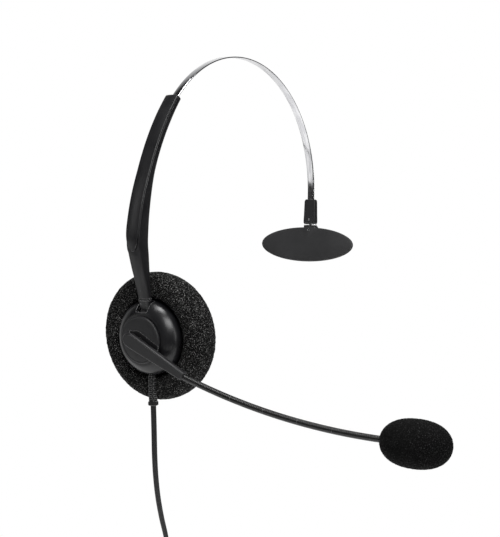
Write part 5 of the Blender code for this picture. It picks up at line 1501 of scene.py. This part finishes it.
@dataclass(frozen=True)
class Studio:
    """A pale floor, a white surround, soft lights and the camera."""

    azimuth: float = -54.0
    elevation: float = 4.0
    distance: float = 0.850
    target: Triple = (0.0118, 0.0, -0.1044)
    lens: float = 113.64
    floor: float = -0.362
    floor_radius: float = 0.5
    fill: float = 0.02
    backdrop: float = 0.9
    boxes: tuple[SoftBox, ...] = (
        SoftBox("key_box", (-0.50, -0.72, 0.50), (-0.06, -0.01, -0.13), (0.60, 0.50), 8.5),
        SoftBox("front_strip", (-0.16, -0.95, -0.02), (-0.06, -0.01, -0.12), (0.06, 0.50), 0.9),
        SoftBox("left_box", (-0.85, 0.62, 0.30), (-0.06, 0.0, -0.08), (0.25, 0.45), 0.7),
        SoftBox("low_left_box", (-0.50, 0.52, -0.30), (0.04, 0.0, -0.04), (0.6, 0.3), 0.55),
        SoftBox("top_box", (-0.15, -0.05, 0.95), (-0.03, -0.02, -0.1), (0.5, 0.5), 11.0),
    )

    def back(self) -> Vector:
        """The direction from the headset to the camera."""
        turn, rise = math.radians(self.azimuth), math.radians(self.elevation)
        return Vector((math.sin(turn) * math.cos(rise), -math.cos(turn) * math.cos(rise), math.sin(rise)))

    def camera(self) -> None:
        """Adds the camera and makes it the scene's."""
        back = self.back()
        data = bpy.data.cameras.new("studio_camera")
        data.lens = self.lens
        data.sensor_width = 36.0
        data.clip_start, data.clip_end = 0.05, 20.0
        camera = bpy.data.objects.new("studio_camera", data)
        camera.location = Vector(self.target) + back * self.distance
        camera.rotation_euler = (-back).to_track_quat("-Z", "Y").to_euler()
        bpy.context.scene.collection.objects.link(camera)
        bpy.context.scene.camera = camera

    def ground(self) -> None:
        """Adds the pale floor."""
        bpy.ops.mesh.primitive_circle_add(vertices=96, radius=self.floor_radius, fill_type="NGON", location=(0, 0, 0))
        floor = bpy.context.active_object
        floor.name = "studio_floor"
        moved(floor, Matrix.Translation((0.0, 0.0, self.floor)))
        material = bpy.data.materials.new("floor_white")
        material.use_nodes = True
        wiring = Wiring(material.node_tree)
        wiring.shader({"Base Color": (0.9, 0.9, 0.9, 1.0), "Roughness": 0.9, "Specular IOR Level": 0.0,
                      "Emission Color": (1.0, 1.0, 1.0, 1.0), "Emission Strength": 0.15})
        floor.data.materials.append(material)

    def world(self) -> None:
        """Surrounds the scene with white for the camera, and with light that is dim behind it and bright ahead."""
        world = bpy.data.worlds.new("studio_surround")
        bpy.context.scene.world = world
        world.use_nodes = True
        wiring = Wiring(world.node_tree)
        path = wiring.node("LightPath")
        facing = wiring.node("VectorMath", {0: wiring.node("TexCoord").outputs["Generated"], 1: -self.back()},
                            operation="DOT_PRODUCT")
        level = wiring.ramp(facing.outputs["Value"], 0.4, 0.9, self.fill, self.backdrop)
        seen = wiring.node("Background", {"Color": (1.0, 1.0, 1.0, 1.0), "Strength": 1.0})
        lit = wiring.node("Background", {"Color": (1.0, 1.0, 1.0, 1.0), "Strength": level})
        mix = wiring.node("MixShader", {0: path.outputs["Is Camera Ray"], 1: lit.outputs[0], 2: seen.outputs[0]})
        output = wiring.node("OutputWorld")
        wiring.tree.links.new(mix.outputs[0], output.inputs["Surface"])

    def build(self) -> None:
        """Builds the whole studio."""
        self.camera()
        self.ground()
        self.world()
        for box in self.boxes:
            box.build()
        bpy.context.scene.view_settings.view_transform = "Standard"


# ---------------------------------------------------------------- assembly


FRAME_LOOKS = (
    (("screw", "pin", "clip", "rivet", "spring", "yoke", "pole_plate", "swivel_plate", "element"), Look.PLAIN_STEEL),
    (("coil",), Look.COPPER),
    (("magnet",), Look.PLAIN_STEEL),
    (("diaphragm", "washer"), Look.CLEAR_FILM),
    (("board",), Look.CIRCUIT_BOARD),
    (("screen",), Look.DUST_CLOTH),
    (("ear_cushion",), Look.CUSHION_FOAM),
    (("windscreen",), Look.WINDSCREEN_FOAM),
    (("cord", "relief"), Look.CORD_JACKET),
    (("gooseneck",), Look.GOOSENECK_BLACK),
    (("strip",), Look.POLISHED_STEEL),
    (("tongue",), Look.CONTACT_BLACK),
    (("pad_cushion",), Look.PAD_SKIN),
    (("cup_rear",), Look.GLOSS_BLACK),
)


def dress_frame() -> None:
    """Gives every node of the frame a finish by the words in its name, where the last match counts."""
    for name, node in frame["nodes"].items():
        look = Look.SATIN_BLACK
        for words, found in FRAME_LOOKS:
            if any(word in name for word in words):
                look = found
        look.value.dress(node)


def main() -> None:
    """Builds the studio and every piece of the headset."""
    logging.basicConfig(level=logging.INFO, format="%(message)s")
    dress_frame()
    Studio().build()
    line = StripLine()
    for part in (Cord(), Headband(line), Arm(line), Knuckle(), EarCup(), Boom(), TemplePad()):
        LOG.info("building %s", type(part).__name__)
        part.build()


if __name__ == "__main__":
    main()
